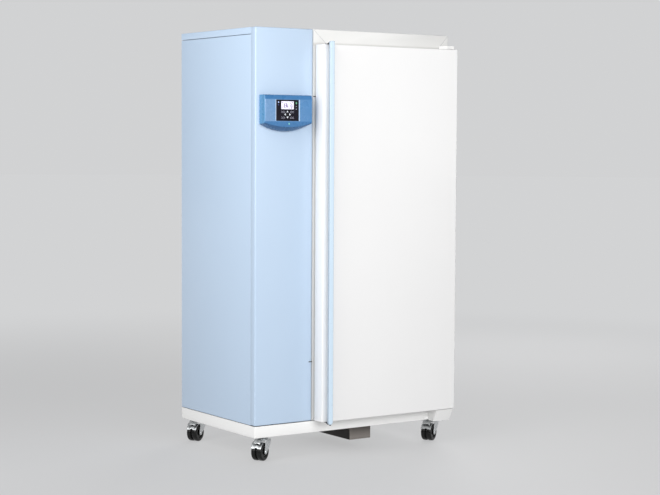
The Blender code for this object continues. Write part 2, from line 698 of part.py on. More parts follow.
def castor(name, x, y):
    """Fork with its round top plate, double-tread wheel and brake pedal."""
    swivel = axis_empty(name + "_axis", (x, y, 0), CASTOR_HEADING)
    heading = Matrix.Rotation(CASTOR_HEADING, 3, "Z")
    forward, across = heading @ Vector((1, 0, 0)), heading @ Vector((0, 1, 0))
    top = CASTOR_HEIGHT - GAP
    hub = Vector((x, y, WHEEL_RADIUS)) + forward * CASTOR_TRAIL

    # fork: plate, crown and two legs joined into one
    plate_thick, crown_low, leg, leg_gap = 0.0045, 0.0840, 0.0026, 0.0018
    fork = cylinder(name + "_fork", (x, y, top - plate_thick / 2), 0.029, plate_thick, "Z", "galvanised")
    inner = WHEEL_WIDTH / 2 + leg_gap
    crown_size = (0.050, 2 * (inner + leg), top - plate_thick - crown_low + 0.001)
    crown = cutter(name + "_crown", cube_mesh(name + "_crown", crown_size),
                   (x, y, crown_low + crown_size[2] / 2), heading)
    boolean(fork, crown, "UNION")
    tip = 0.010
    side = [(-0.0250, crown_low + 0.006), (0.0250, crown_low + 0.006)]
    side += [(CASTOR_TRAIL + tip * cos(a), WHEEL_RADIUS + tip * sin(a))
             for a in (radians(20), radians(-30), radians(-90), radians(-150), radians(-200))]
    for way in (1, -1):
        centre = Vector((x, y, 0)) + across * way * (inner + leg / 2)
        flat = outline(f"{name}_leg_{way}", [side], leg, "galvanised", centre, heading @ UPRIGHT)
        flat = solid_from_curve(flat)
        parts.objects.unlink(flat)
        cutters.objects.link(flat)
        flat.hide_render = True
        flat.display_type = "WIRE"
        boolean(fork, flat, "UNION")

    half = wheel_profile()
    profile = half + [(radius, -height) for radius, height in reversed(half)]
    lay = heading @ Matrix.Rotation(-pi / 2, 3, "X")
    turned(name + "_wheel", profile, hub, "tread", turn=lay, steps=24)

    pivot = Vector((x, y, 0.0920)) + forward * 0.0285
    lever = [(0.0, 0.004), (0.0, -0.003), (0.012, -0.0045), (0.027, -0.008), (0.030, -0.0065),
             (0.027, -0.003), (0.012, 0.003)]
    outline(name + "_pedal", [lever[::-1]], 0.034, "galvanised", pivot, heading @ UPRIGHT)


# ---------------------------------------------------------------- build
clear_scene()
parts = collection("cooled_incubator")
cutters = collection("cutters")

base()
column()
casing()
surround()
chamber()
rail("shelf_rail_left", CHAMBER_LEFT, 1)
rail("shelf_rail_right", CHAMBER_RIGHT, -1)
for number, shelf_height in enumerate(SHELF_HEIGHTS, start=1):
    shelf(f"shelf_{number}", shelf_height)
climate()
refrigeration()
rear_electrics()
control_panel()
door()
upper_bracket()
glass_door()
drip_tray()
castor("castor_front_left", CASTOR_LEFT_X, CASTOR_FRONT_Y)
castor("castor_front_right", CASTOR_RIGHT_X, CASTOR_FRONT_Y)
castor("castor_back_left", CASTOR_LEFT_X, CASTOR_BACK_Y)
castor("castor_back_right", CASTOR_RIGHT_X, CASTOR_BACK_Y)
bpy.context.view_layer.update()
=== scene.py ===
"""Looks of a tall cooled laboratory incubator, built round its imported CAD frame.

Metres, +Z up, front towards -Y. Every piece is made in place, in the frame's own coordinates.
"""

import json
from math import cos, pi, radians, sin

import bmesh
import bpy
from mathutils import Matrix, Vector


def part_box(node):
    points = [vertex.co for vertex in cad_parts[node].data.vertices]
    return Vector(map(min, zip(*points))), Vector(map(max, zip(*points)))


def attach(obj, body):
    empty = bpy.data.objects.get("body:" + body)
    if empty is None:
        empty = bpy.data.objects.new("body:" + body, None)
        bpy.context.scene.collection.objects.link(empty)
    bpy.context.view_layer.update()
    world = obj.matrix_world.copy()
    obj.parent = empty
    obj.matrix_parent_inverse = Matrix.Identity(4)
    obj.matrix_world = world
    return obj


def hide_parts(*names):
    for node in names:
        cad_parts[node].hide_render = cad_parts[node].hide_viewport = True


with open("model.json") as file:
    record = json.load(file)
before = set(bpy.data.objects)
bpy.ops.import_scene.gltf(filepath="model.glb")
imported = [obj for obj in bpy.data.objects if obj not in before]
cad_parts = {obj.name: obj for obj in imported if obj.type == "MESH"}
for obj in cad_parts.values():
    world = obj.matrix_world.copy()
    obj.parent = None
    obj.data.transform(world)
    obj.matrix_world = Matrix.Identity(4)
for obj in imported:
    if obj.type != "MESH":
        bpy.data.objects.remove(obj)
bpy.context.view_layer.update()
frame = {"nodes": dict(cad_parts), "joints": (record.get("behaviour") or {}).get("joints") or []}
SCENE = bpy.context.scene
SCENE.view_settings.view_transform = "Standard"

# ---------------------------------------------------------------- camera
CAMERA_PLACE = Vector((-4.361, -6.5175, 1.423))
CAMERA_YAW, CAMERA_TILT, CAMERA_ROLL = radians(34.11), radians(3.67), radians(0.286)
SENSOR, LENS = 36.0, 91.28


def make_camera():
    ahead = Vector((sin(CAMERA_YAW) * cos(CAMERA_TILT), cos(CAMERA_YAW) * cos(CAMERA_TILT), -sin(CAMERA_TILT)))
    level = Vector((cos(CAMERA_YAW), -sin(CAMERA_YAW), 0))
    above = level.cross(ahead)
    right = level * cos(CAMERA_ROLL) + above * sin(CAMERA_ROLL)
    up = above * cos(CAMERA_ROLL) - level * sin(CAMERA_ROLL)
    data = bpy.data.cameras.new("camera")
    data.sensor_width, data.lens = SENSOR, LENS
    data.clip_start, data.clip_end = 0.1, 200
    made = bpy.data.objects.new("camera", data)
    SCENE.collection.objects.link(made)
    made.matrix_world = Matrix.Translation(CAMERA_PLACE) @ Matrix((right, up, -ahead)).transposed().to_4x4()
    SCENE.camera = made


make_camera()

# ---------------------------------------------------------------- lights, floor and background
WORLD_STRENGTH = 0.115
BACKDROP = (0.640, 0.645, 0.652)        # the pale tone that the floor fades into
LIGHTS = {                              # place, aim, width, height, watts
    "key_light": ((-3.4, -3.3, 2.9), (-0.2, -0.2, 1.15), 2.2, 2.6, 42),
    "left_light": ((-4.6, -0.6, 2.6), (-0.5, 0.0, 1.1), 3.0, 2.6, 80),
    "high_light": ((-3.2, -1.2, 4.2), (-0.4, -0.1, 1.2), 2.2, 2.0, 52),
    "front_light": ((-0.8, -5.8, 2.4), (0.0, -0.3, 1.0), 3.6, 2.6, 163),
    "right_light": ((3.8, -3.2, 2.4), (0.1, -0.3, 1.0), 2.6, 2.4, 24),
    "back_light": ((3.8, 3.0, 2.5), (0.1, 0.3, 1.1), 2.6, 2.4, 100),
}


def make_lights():
    world = bpy.data.worlds.new("studio")
    SCENE.world = world
    world.use_nodes = True
    tree = world.node_tree
    light = tree.nodes["Background"]
    light.inputs["Color"].default_value = (0.86, 0.88, 0.90, 1)
    light.inputs["Strength"].default_value = WORLD_STRENGTH
    backdrop = tree.nodes.new("ShaderNodeBackground")
    backdrop.inputs["Color"].default_value = (*BACKDROP, 1)
    seen = tree.nodes.new("ShaderNodeMixShader")
    path = tree.nodes.new("ShaderNodeLightPath")
    direct = tree.nodes.new("ShaderNodeMath")           # seen straight on or through the glass
    direct.operation = "MAXIMUM"
    tree.links.new(path.outputs["Is Camera Ray"], direct.inputs[0])
    tree.links.new(path.outputs["Is Transmission Ray"], direct.inputs[1])
    tree.links.new(direct.outputs[0], seen.inputs[0])
    tree.links.new(light.outputs[0], seen.inputs[1])
    tree.links.new(backdrop.outputs[0], seen.inputs[2])
    tree.links.new(seen.outputs[0], tree.nodes["World Output"].inputs["Surface"])
    for name, (place, aim, width, height, watts) in LIGHTS.items():
        data = bpy.data.lights.new(name, "AREA")
        data.shape = "RECTANGLE"
        data.size, data.size_y = width, height
        data.energy = watts
        made = bpy.data.objects.new(name, data)
        SCENE.collection.objects.link(made)
        made.location = place
        made.rotation_mode = "QUATERNION"
        made.rotation_quaternion = (Vector(aim) - Vector(place)).to_track_quat("-Z", "Y")


make_lights()


# ---------------------------------------------------------------- materials
class Look:
    """A node material round one Principled shader. Plain numbers go straight on the shader's sockets."""

    def __init__(self, name, **sockets):
        self.material = bpy.data.materials.new(name)
        self.material.use_nodes = True
        self.tree = self.material.node_tree
        self.shader = self.tree.nodes["Principled BSDF"]
        for socket, value in sockets.items():
            self.shader.inputs[socket.replace("_", " ")].default_value = value

    def node(self, kind, inputs=None, **settings):
        made = self.tree.nodes.new("ShaderNode" + kind)
        for key, value in settings.items():
            setattr(made, key, value)
        for key, value in (inputs or {}).items():
            if isinstance(value, bpy.types.NodeSocket):
                self.tree.links.new(value, made.inputs[key])
            else:
                made.inputs[key].default_value = value
        return made

    def point(self, stretch=(1, 1, 1)):
        """The surface point in metres, stretched per axis."""
        place = self.node("TexCoord").outputs["Object"]
        return self.node("Mapping", {"Vector": place, "Scale": stretch}).outputs["Vector"]

    def axis(self, name, output="Object"):
        """One axis of the surface point in metres, or of its normal."""
        return self.node("SeparateXYZ", {0: self.node("TexCoord").outputs[output]}).outputs[name]

    def sideways(self):
        """How far the surface faces left or right, from 0 to 1."""
        return self.node("Math", {0: self.axis("X", "Normal")}, operation="ABSOLUTE").outputs[0]

    def noise(self, scale, detail, stretch=(1, 1, 1)):
        inputs = {"Vector": self.point(stretch), "Scale": scale, "Detail": detail}
        return self.node("TexNoise", inputs).outputs["Fac"]

    def cells(self, scale, output="Color"):
        return self.node("TexVoronoi", {"Vector": self.point(), "Scale": scale}).outputs[output]

    def span(self, factor, low, high, start=0.3, end=0.7):
        """A number that runs from low to high as factor runs from start to end."""
        inputs = {"Value": factor, "From Min": start, "From Max": end, "To Min": low, "To Max": high}
        return self.node("MapRange", inputs).outputs["Result"]

    def ease(self, factor, start, end):
        """A number that eases from 0 to 1 as factor runs from start to end."""
        inputs = {"Value": factor, "From Min": start, "From Max": end}
        return self.node("MapRange", inputs, interpolation_type="SMOOTHSTEP").outputs["Result"]

    def blend(self, factor, first, second):
        made = self.node("Mix", data_type="RGBA")
        self.tree.links.new(factor, made.inputs["Factor"])
        for slot, colour in ((6, first), (7, second)):
            if isinstance(colour, bpy.types.NodeSocket):
                self.tree.links.new(colour, made.inputs[slot])
            else:
                made.inputs[slot].default_value = (*colour, 1)
        return made.outputs[2]

    def cloud(self, first, second, scale, detail, stretch=(1, 1, 1)):
        """Two colours that drift into each other."""
        return self.blend(self.span(self.noise(scale, detail, stretch), 0, 1), first, second)

    def set(self, socket, value):
        self.tree.links.new(value, self.shader.inputs[socket])

    def bump(self, height, strength, distance=0.0005):
        under = self.shader.inputs["Normal"].links
        inputs = {"Height": height, "Strength": strength, "Distance": distance}
        if under:
            inputs["Normal"] = under[0].from_socket
        self.set("Normal", self.node("Bump", inputs).outputs["Normal"])


def shade(colour, amount):
    return tuple(min(1.0, c * amount) for c in colour)


def powder_coat(name, colour, rough=0.36, peel=0.10):
    """Sprayed and baked paint: slight cloudiness, fine speckle and orange peel."""
    look = Look(name, Coat_Weight=0.12, Coat_Roughness=0.12, IOR=1.48)
    tone = look.cloud(shade(colour, 0.985), shade(colour, 1.012), 2.3, 3)
    look.set("Base Color", look.cloud(tone, shade(colour, 0.99), 620, 1))
    look.set("Roughness", look.span(look.noise(7, 3), rough - 0.04, rough + 0.05))
    look.bump(look.noise(380, 2), peel, 0.00035)
    look.bump(look.noise(9, 1), 0.03, 0.002)
    return look


def brushed_steel(name, colour, along, rough):
    """Stainless sheet with its grain along one axis, and soft smudges."""
    stretch = [700, 700, 700]
    stretch[along] = 6
    look = Look(name, Metallic=1.0, Anisotropic=0.35)
    grain = look.noise(1.0, 3, stretch)
    smudge = look.noise(6, 3)
    tone = look.blend(look.span(grain, 0, 1), shade(colour, 0.92), shade(colour, 1.05))
    look.set("Base Color", look.blend(look.span(smudge, 0, 0.35), tone, shade(colour, 0.82)))
    look.set("Roughness", look.span(grain, rough - 0.06, rough + 0.10))
    look.bump(grain, 0.05, 0.0002)
    return look


def frame_paint(name):
    """White surround: painted shade makes its upright limbs a little greyer, and a painted shadow line runs
    along the door's top edge.
    """
    look = Look(name, Coat_Weight=0.12, Coat_Roughness=0.12, IOR=1.48)
    height, door_top = look.axis("Z"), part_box("door_skin")[1].z
    tone = look.cloud((0.868, 0.864, 0.848), (0.892, 0.888, 0.874), 2.3, 3)
    # painted shade: faces that turn left or right, on the upright limbs, are greyer
    tone = look.blend(look.span(look.sideways(), 0, 1, 0.03, 0.12), tone, (0.800, 0.796, 0.780))
    # painted shadow: a soft dark band at the height of the door's top edge, between these two masks
    above = look.span(height, 1, 0, door_top + 0.004, door_top + 0.012)
    door_shadow_lower_edge = look.span(height, 0, 1, door_top - 0.008, door_top - 0.002)
    look.set("Base Color", look.blend(door_shadow_lower_edge, tone, look.blend(above, tone, (0.690, 0.680, 0.655))))
    look.set("Roughness", look.span(look.noise(7, 3), 0.34, 0.44))
    look.bump(look.noise(380, 2), 0.10, 0.00035)
    return look


def tray_steel(name):
    """Bare folded sheet: dull grain on its ends, a painted shadow that darkens it towards the rim under the
    cabinet, and painted shade on its long sides.
    """
    look = Look(name, Metallic=0.75)
    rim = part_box("drip_tray")[1].z
    grain = look.noise(1.0, 3, (6, 700, 700))
    tone = look.blend(look.span(grain, 0, 1), (0.265, 0.240, 0.220), (0.310, 0.282, 0.260))
    # painted shadow: darker towards the rim, under the cabinet
    tone = look.blend(look.span(look.axis("Z"), 0, 1, rim - 0.040, rim - 0.004), tone, (0.130, 0.118, 0.108))
    # painted shade: the long sides, facing left and right, are nearly black
    look.set("Base Color", look.blend(look.span(look.sideways(), 0, 1, 0.45, 0.9), tone, (0.026, 0.024, 0.023)))
    look.set("Roughness", look.span(grain, 0.32, 0.46))
    look.bump(grain, 0.10, 0.0002)
    return look


def zinc_steel(name, colour, spangle=90, rough=0.38):
    """Zinc-plated or galvanised sheet, with its crystals."""
    look = Look(name, Metallic=1.0)
    crystal = look.cells(spangle)
    tone = look.blend(crystal, shade(colour, 0.86), shade(colour, 1.10))
    look.set("Base Color", look.blend(look.span(look.noise(30, 3), 0, 0.4), tone, shade(colour, 0.75)))
    look.set("Roughness", look.span(crystal, rough - 0.07, rough + 0.10, 0, 1))
    look.bump(look.noise(160, 3), 0.10, 0.0004)
    return look


def moulded_plastic(name, colour, rough=0.34, grain=0.10, gloss=0.5):
    """Injection-moulded plastic with a fine spark-eroded grain and faint flow lines."""
    look = Look(name, Specular_IOR_Level=gloss, IOR=1.52)
    flow = look.cloud(shade(colour, 0.94), shade(colour, 1.05), 14, 2, (1, 1, 4))
    look.set("Base Color", look.blend(look.span(look.noise(900, 1), 0, 0.5), flow, shade(colour, 0.9)))
    look.set("Roughness", look.span(look.noise(40, 2), rough - 0.05, rough + 0.05))
    look.bump(look.noise(1300, 1), grain, 0.0002)
    return look


def bar_paint(name, colour):
    """Anodised bar: satin face, with painted shade that darkens it where it rounds off to each side."""
    look = Look(name, Coat_Weight=0.15, Coat_Roughness=0.15, IOR=1.48)
    grain = look.cloud(shade(colour, 0.985), shade(colour, 1.015), 1.0, 2, (900, 900, 8))
    # painted shade: darker where the bar rounds off to each side
    look.set("Base Color", look.blend(look.ease(look.sideways(), 0.2, 0.85), grain, (0.38, 0.46, 0.55)))
    look.set("Roughness", look.span(look.noise(60, 2), 0.26, 0.36))
    look.bump(look.noise(1.0, 2, (700, 700, 6)), 0.05, 0.0002)
    return look


def housing_plastic(name):
    """Glossy blue moulding: deeper above and below the creases, a painted reflection that makes it paler
    towards its left end, and painted shade on its left end, curved lip and top.
    """
    look = Look(name, Coat_Weight=0.10, Coat_Roughness=0.06, Specular_IOR_Level=0.45, IOR=1.52)
    low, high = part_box("control_housing")
    fascia_low, fascia_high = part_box("control_fascia")
    left, height = look.axis("X"), look.axis("Z")
    facing_x, facing_z = look.axis("X", "Normal"), look.axis("Z", "Normal")
    deep, crease = (0.058, 0.200, 0.440), 0.004
    # painted reflection: paler towards the left end
    tone = look.blend(look.ease(left, low.x + 0.02, high.x), (0.185, 0.345, 0.590), (0.098, 0.262, 0.520))
    for factor, colour in (
            (look.ease(height, fascia_high.z, fascia_high.z + crease), deep),
            (look.ease(height, fascia_low.z, fascia_low.z - crease), deep),
            (look.ease(facing_x, -0.35, -0.85), (0.105, 0.290, 0.520)),         # painted shade on the left end
            (look.ease(facing_z, -0.22, -0.55), (0.030, 0.112, 0.265)),         # painted shade on the curved lip
            (look.ease(facing_z, 0.25, 0.70), (0.045, 0.150, 0.320))):          # painted shade on the top
        tone = look.blend(factor, tone, colour)
    flow = look.cloud((0.95, 0.95, 0.95), (1.0, 1.0, 1.0), 14, 2, (1, 1, 4))
    tinted = look.node("Mix", data_type="RGBA", blend_type="MULTIPLY")
    tinted.inputs["Factor"].default_value = 1.0
    look.tree.links.new(tone, tinted.inputs[6])
    look.tree.links.new(flow, tinted.inputs[7])
    look.set("Base Color", tinted.outputs[2])
    look.set("Roughness", look.span(look.noise(40, 2), 0.24, 0.32))
    look.bump(look.noise(1300, 1), 0.04, 0.0002)
    return look


def rubber(name, colour, rough=0.55, gloss=0.4, bloom=0.02):
    """Rubber or soft vinyl with a dusty bloom."""
    look = Look(name, Specular_IOR_Level=gloss, IOR=1.5)
    dust = look.span(look.noise(45, 4), 0, 0.5)
    look.set("Base Color", look.blend(dust, colour, tuple(c * 0.8 + bloom for c in colour)))
    look.set("Roughness", look.span(look.noise(120, 3), rough - 0.08, rough + 0.08))
    look.bump(look.noise(800, 2), 0.2, 0.0003)
    return look


def clear_glass(name):
    """Tempered glass with a faint green cast and a few smudges."""
    look = Look(name, Transmission_Weight=1.0, IOR=1.5)
    look.set("Base Color", look.blend(look.noise(3, 2), (0.90, 0.965, 0.945), (0.93, 0.985, 0.97)))
    look.set("Roughness", look.span(look.noise(12, 4), 0.0, 0.05, 0.45, 0.75))
    return look


def lit(name, colour, strength, edge=(0.6, 0.6, 0.6)):
    """A lens or backlight that glows slightly unevenly."""
    look = Look(name, Roughness=0.25, Emission_Strength=strength)
    tone = look.cloud(colour, tuple(a * b for a, b in zip(colour, edge)), 180, 2)
    look.set("Base Color", tone)
    look.set("Emission Color", tone)
    return look


def crystal_screen(name):
    """Backlit display: a lilac cast that drifts unevenly, behind fine dots."""
    look = Look(name, Roughness=0.22, Specular_IOR_Level=0.2, Emission_Strength=0.30)
    glow = look.cloud((0.93, 0.90, 0.97), (0.80, 0.76, 0.92), 26, 2)
    dots = look.node("TexChecker", {"Vector": look.point(), "Scale": 1400.0}).outputs["Fac"]
    tone = look.blend(look.span(dots, 0, 0.12, 0, 1), glow, (0.66, 0.62, 0.80))
    look.set("Base Color", tone)
    look.set("Emission Color", tone)
    return look


def foam(name, colour):
    look = Look(name, Roughness=0.9)
    look.set("Base Color", look.blend(look.noise(90, 4), shade(colour, 0.82), shade(colour, 1.08)))
    look.bump(look.cells(260, "Distance"), 0.5, 0.001)
    return look


def circuit(name):
    """Solder mask over tracks."""
    look = Look(name, Roughness=0.35)
    inputs = {"Vector": look.point(), "Scale": 60.0, "Mortar Size": 0.02, "Brick Width": 0.8}
    tracks = look.node("TexBrick", inputs).outputs["Fac"]
    look.set("Base Color", look.blend(tracks, (0.02, 0.16, 0.07), (0.05, 0.30, 0.13)))
    look.bump(tracks, 0.3, 0.0002)
    return look


def fins(name):
    """Aluminium fins: painted shade for the close dark gaps between thin bright edges."""
    look = Look(name, Metallic=1.0)
    lines = look.node("TexWave", {"Vector": look.point((1, 0, 0)), "Scale": 70.0}).outputs["Fac"]
    # painted shade: the dark lines stand for the gaps between the fins
    look.set("Base Color", look.blend(lines, (0.30, 0.29, 0.28), (0.78, 0.77, 0.75)))
    look.set("Roughness", look.span(look.noise(50, 3), 0.30, 0.5))
    look.bump(lines, 0.4, 0.001)
    return look


BLUE = (0.545, 0.678, 0.842)
WHITE = (0.915, 0.912, 0.900)
LOOKS = {}


def looks(maker, **each):
    """Materials of one kind: each name with the maker's settings."""
    for name, settings in each.items():
        LOOKS[name] = maker(name, *settings).material


looks(powder_coat, blue_paint=(BLUE,), white_paint=(WHITE,), base_paint=((0.955, 0.952, 0.940),),
      door_paint=((0.920, 0.914, 0.910), 0.32, 0.06), dark_metal=((0.035, 0.036, 0.04), 0.45, 0.2))
looks(brushed_steel, steel_upright=((0.64, 0.62, 0.60), 2, 0.33), steel_deep=((0.58, 0.56, 0.54), 1, 0.32))
looks(zinc_steel, galvanised=((0.66, 0.68, 0.69),), bright_zinc=((0.72, 0.74, 0.75), 300, 0.28))
looks(moulded_plastic,
      housing_trim=((0.56, 0.69, 0.88), 0.25, 0.04), fascia=((0.011, 0.009, 0.016), 0.42, 0.03, 0.12),
      key_white=((0.80, 0.84, 0.90), 0.3, 0.05), mark_grey=((0.36, 0.36, 0.44), 0.4, 0.05),
      black_plastic=((0.010, 0.010, 0.011), 0.36, 0.10, 0.3))
looks(rubber, tread=((0.004, 0.004, 0.004), 0.26, 0.32, 0.006), black_rubber=((0.02, 0.02, 0.021),),
      seal=((0.40, 0.41, 0.43), 0.6))
looks(lit, screen_ink=((0.17, 0.10, 0.33), 0.28), light_green=((0.20, 0.56, 0.46), 0.8),
      light_blue=((0.40, 0.50, 0.80), 0.8), light_dim=((0.10, 0.14, 0.36), 0.3),
      icon_green=((0.12, 0.34, 0.20), 0.4))
looks(bar_paint, blue_bar=((0.665, 0.815, 0.955),))
looks(foam, foam=((0.80, 0.74, 0.55),))
looks(frame_paint, frame_paint=())
looks(tray_steel, tray_steel=())
looks(housing_plastic, housing=())
looks(clear_glass, glass=())
looks(crystal_screen, screen=())
looks(circuit, circuit=())
looks(fins, fins=())


# ---------------------------------------------------------------- making meshes
def mesh_from(bm, outwards=True):
    if outwards:
        bmesh.ops.recalc_face_normals(bm, faces=bm.faces)
    data = bpy.data.meshes.new("shape")
    bm.to_mesh(data)
    bm.free()
    return data


def evaluated(made):
    """The object's final mesh. The object itself is removed."""
    bpy.context.view_layer.update()
    graph = bpy.context.evaluated_depsgraph_get()
    data = bpy.data.meshes.new_from_object(made.evaluated_get(graph))
    bpy.data.objects.remove(made, do_unlink=True)
    return data


def modified(data, *modifiers):
    """A mesh after modifiers, each (kind, settings)."""
    made = bpy.data.objects.new("work", data)
    SCENE.collection.objects.link(made)
    for kind, settings in modifiers:
        modifier = made.modifiers.new(kind, kind)
        for key, value in settings.items():
            setattr(modifier, key, value)
    return evaluated(made)


def moved(data, matrix):
    copy = data.copy()
    copy.transform(matrix)
    return copy


def joined(*shapes):
    bm = bmesh.new()
    for data in shapes:
        bm.from_mesh(data)
    return mesh_from(bm, outwards=False)


def box_mesh(low, high):
    low, high = Vector(low), Vector(high)
    bm = bmesh.new()
    bmesh.ops.create_cube(bm, size=1.0)
    bmesh.ops.scale(bm, vec=high - low, verts=bm.verts)
    bmesh.ops.translate(bm, vec=(low + high) / 2, verts=bm.verts)
    return bm


def block(low, high, edge, segments=3):
    """A box with rounded edges."""
    bm = box_mesh(low, high)
    bmesh.ops.bevel(bm, geom=bm.edges[:], offset=edge, segments=segments, profile=0.5, affect="EDGES",
                    clamp_overlap=True)
    return mesh_from(bm)


def shell(low, high, open_side, thick, edge, segments=4):
    """A box folded from sheet, rounded at its folds, with one side open, such as (2, 1) for the top."""
    bm = box_mesh(low, high)
    axis, sign = open_side
    gone = [face for face in bm.faces if face.normal[axis] * sign > 0.9]
    bmesh.ops.delete(bm, geom=gone, context="FACES_ONLY")
    folds = [e for e in bm.edges if not e.is_boundary]
    bmesh.ops.bevel(bm, geom=folds, offset=edge, segments=segments, affect="EDGES", profile=0.5)
    solid = {"thickness": thick, "offset": -1, "use_even_offset": True}
    rim = {"width": thick * 0.3, "segments": 2, "limit_method": "ANGLE", "angle_limit": radians(50)}
    return modified(mesh_from(bm, outwards=False), ("SOLIDIFY", solid), ("BEVEL", rim))


UPRIGHT = Matrix.Rotation(pi / 2, 4, "X")                                      # drawn in X and Z
SIDEWAYS = Matrix(((0, 0, 1, 0), (1, 0, 0, 0), (0, 1, 0, 0), (0, 0, 0, 1)))     # drawn in Y and Z
FLAT = Matrix.Identity(4)


def plate(loops, thick, centre, turn=FLAT, edge=0.0004, steps=2):
    """Flat outlines, the first outside and the rest holes, made into a plate with rounded edges."""
    curve = bpy.data.curves.new("shape", "CURVE")
    curve.dimensions = "2D"
    curve.fill_mode = "BOTH"
    curve.bevel_depth, curve.bevel_resolution = edge, steps - 1
    curve.extrude, curve.offset = max(thick / 2 - edge, 0), -edge
    for loop in loops:
        spline = curve.splines.new("POLY")
        spline.points.add(len(loop) - 1)
        for point, (x, y) in zip(spline.points, loop):
            point.co = (x, y, 0, 1)
        spline.use_cyclic_u = True
    made = bpy.data.objects.new("work", curve)
    SCENE.collection.objects.link(made)
    data = evaluated(made)
    bm = bmesh.new()
    bm.from_mesh(data)
    bmesh.ops.remove_doubles(bm, verts=bm.verts, dist=0.00001)
    bmesh.ops.transform(bm, matrix=Matrix.Translation(centre) @ turn, verts=bm.verts)
    return mesh_from(bm)


def lathe(profile, centre=(0, 0, 0), turn=FLAT, steps=32):
    """A profile of (radius, height), turned about Z."""
    bm = bmesh.new()
    verts = [bm.verts.new((radius, 0, height)) for radius, height in profile]
    edges = [bm.edges.new(pair) for pair in zip(verts, verts[1:])]
    bmesh.ops.spin(bm, geom=verts + edges, cent=(0, 0, 0), axis=(0, 0, 1), angle=2 * pi, steps=steps,
                   use_merge=True)
    bmesh.ops.remove_doubles(bm, verts=bm.verts, dist=0.000005)
    bmesh.ops.transform(bm, matrix=Matrix.Translation(centre) @ turn, verts=bm.verts)
    return mesh_from(bm)


def tube(points, radius, closed=False, sides=10):
    """A round bar along points."""
    points = [Vector(p) for p in points]
    count = len(points)
    rows = []
    side = None
    for i, place in enumerate(points):
        before = points[i - 1] if closed or i else place
        after = points[(i + 1) % count] if closed or i < count - 1 else place
        way = (after - before).normalized()
        if side is None:
            side = way.orthogonal().normalized()
        side = (side - way * side.dot(way)).normalized()
        other = way.cross(side)
        rows.append([place + side * x + other * y for x, y in circle(0, 0, radius, sides)])
    return loft(rows, closed, first=not closed, last=not closed)


def loft(rows, closed=False, first=False, last=False):
    """A surface through loops of equal length; closed joins the last loop to the first."""
    bm = bmesh.new()
    made = [[bm.verts.new(p) for p in row] for row in rows]
    count = len(rows[0])
    for row, following in list(zip(made, made[1:])) + ([(made[-1], made[0])] if closed else []):
        for i in range(count):
            j = (i + 1) % count
            bm.faces.new((row[i], row[j], following[j], following[i]))
    if first:
        bm.faces.new(made[0][::-1])
    if last:
        bm.faces.new(made[-1])
    return mesh_from(bm)


def bent(rows, thick, offset):
    """Sheet metal through rows of points, with soft edges."""
    bm = bmesh.new()
    grid = [[bm.verts.new(p) for p in row] for row in rows]
    for row, following in zip(grid, grid[1:]):
        for a, b, c, d in zip(row, row[1:], following[1:], following):
            bm.faces.new((a, b, c, d))
    return modified(mesh_from(bm), ("SOLIDIFY", {"thickness": thick, "offset": offset}),
                    ("BEVEL", {"width": 0.0006, "segments": 2, "limit_method": "ANGLE"}))


def corners(left, right, bottom, top, radius=0.0, steps=5):
    """A rectangle, with rounded corners if radius is given."""
    if not radius:
        return [(left, bottom), (right, bottom), (right, top), (left, top)]
    points = []
    for x, y, start in ((left + radius, bottom + radius, pi), (right - radius, bottom + radius, 1.5 * pi),
                        (right - radius, top - radius, 0.0), (left + radius, top - radius, 0.5 * pi)):
        points += arc(x, y, radius, start, start + pi / 2, steps)
    return points


def circle(x, y, radius, sides=24):
    return arc(x, y, radius, 0, 2 * pi, sides)[:-1]


def mitred(profile, left, right, bottom, top):
    """A closed section of (inset, y) carried round a rectangle, with mitred corners."""
    return loft([[(x, y, z) for x, z in corners(left + inset, right - inset, bottom + inset, top - inset)]
                 for inset, y in profile], closed=True)


def arc(x, y, radius, start, end, steps=4):
    turns = [start + (end - start) * i / steps for i in range(steps + 1)]
    return [(x + radius * cos(turn), y + radius * sin(turn)) for turn in turns]


def piece(name, body, data, look, stands_for=(), smooth=40):
    """A finished piece that rides on a body. Edges that turn by more than smooth degrees stay sharp."""
    data.name = name
    data.materials.clear()
    data.materials.append(LOOKS[look])
    data.shade_smooth()
    data.set_sharp_from_angle(angle=radians(smooth))
    made = bpy.data.objects.new(name, data)
    SCENE.collection.objects.link(made)
    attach(made, body)
    if stands_for:
        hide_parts(*([stands_for] if isinstance(stands_for, str) else stands_for))
    return made


def screw_head(radius):
    """A pan head with a round-bottomed socket, pointing up."""
    height = radius * 0.55
    profile = [(0, height * 0.35), (radius * 0.34, height * 0.35), (radius * 0.40, height),
               (radius * 0.62, height), (radius * 0.9, height * 0.72), (radius, height * 0.3), (radius, 0),
               (0, 0)]
    return lathe(profile, steps=16)


FACING = {"-Y": Matrix.Rotation(pi / 2, 4, "X"), "+Y": Matrix.Rotation(-pi / 2, 4, "X"), "+Z": FLAT,
          "-Z": Matrix.Rotation(pi, 4, "X")}


def screws(name, body, places, facing, radius):
    head = screw_head(radius)
    heads = joined(*(moved(head, Matrix.Translation(place) @ FACING[facing]) for place in places))
    return piece(name, body, heads, "bright_zinc")


# ---------------------------------------------------------------- frame measures
FRONT, BACK = (corner.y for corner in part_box("base_frame"))
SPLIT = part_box("chamber_casing")[0].x   # where the column ends and the chamber starts
SEAM = 0.0009                           # half of the visible gap between outer panels


def build_base():
    low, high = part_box("base_frame")
    high.z -= SEAM
    piece("base_pan", "cabinet", shell(low, high, (2, 1), 0.002, 0.0045), "base_paint",
          "base_frame")
    low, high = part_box("lower_hinge_console")
    outline = [(FRONT - 0.0003, low.z), (FRONT - 0.039, low.z), (low.y, high.z), (FRONT - 0.0003, high.z)]
    piece("hinge_console", "cabinet",
          plate([outline], high.x - low.x, ((low.x + high.x) / 2, 0, 0), SIDEWAYS, edge=0.0018, steps=3),
          "white_paint", "lower_hinge_console")
    screws("console_screws", "cabinet", [(high.x - 0.034, FRONT - 0.030, low.z + 0.0002)], "-Z", 0.0052)


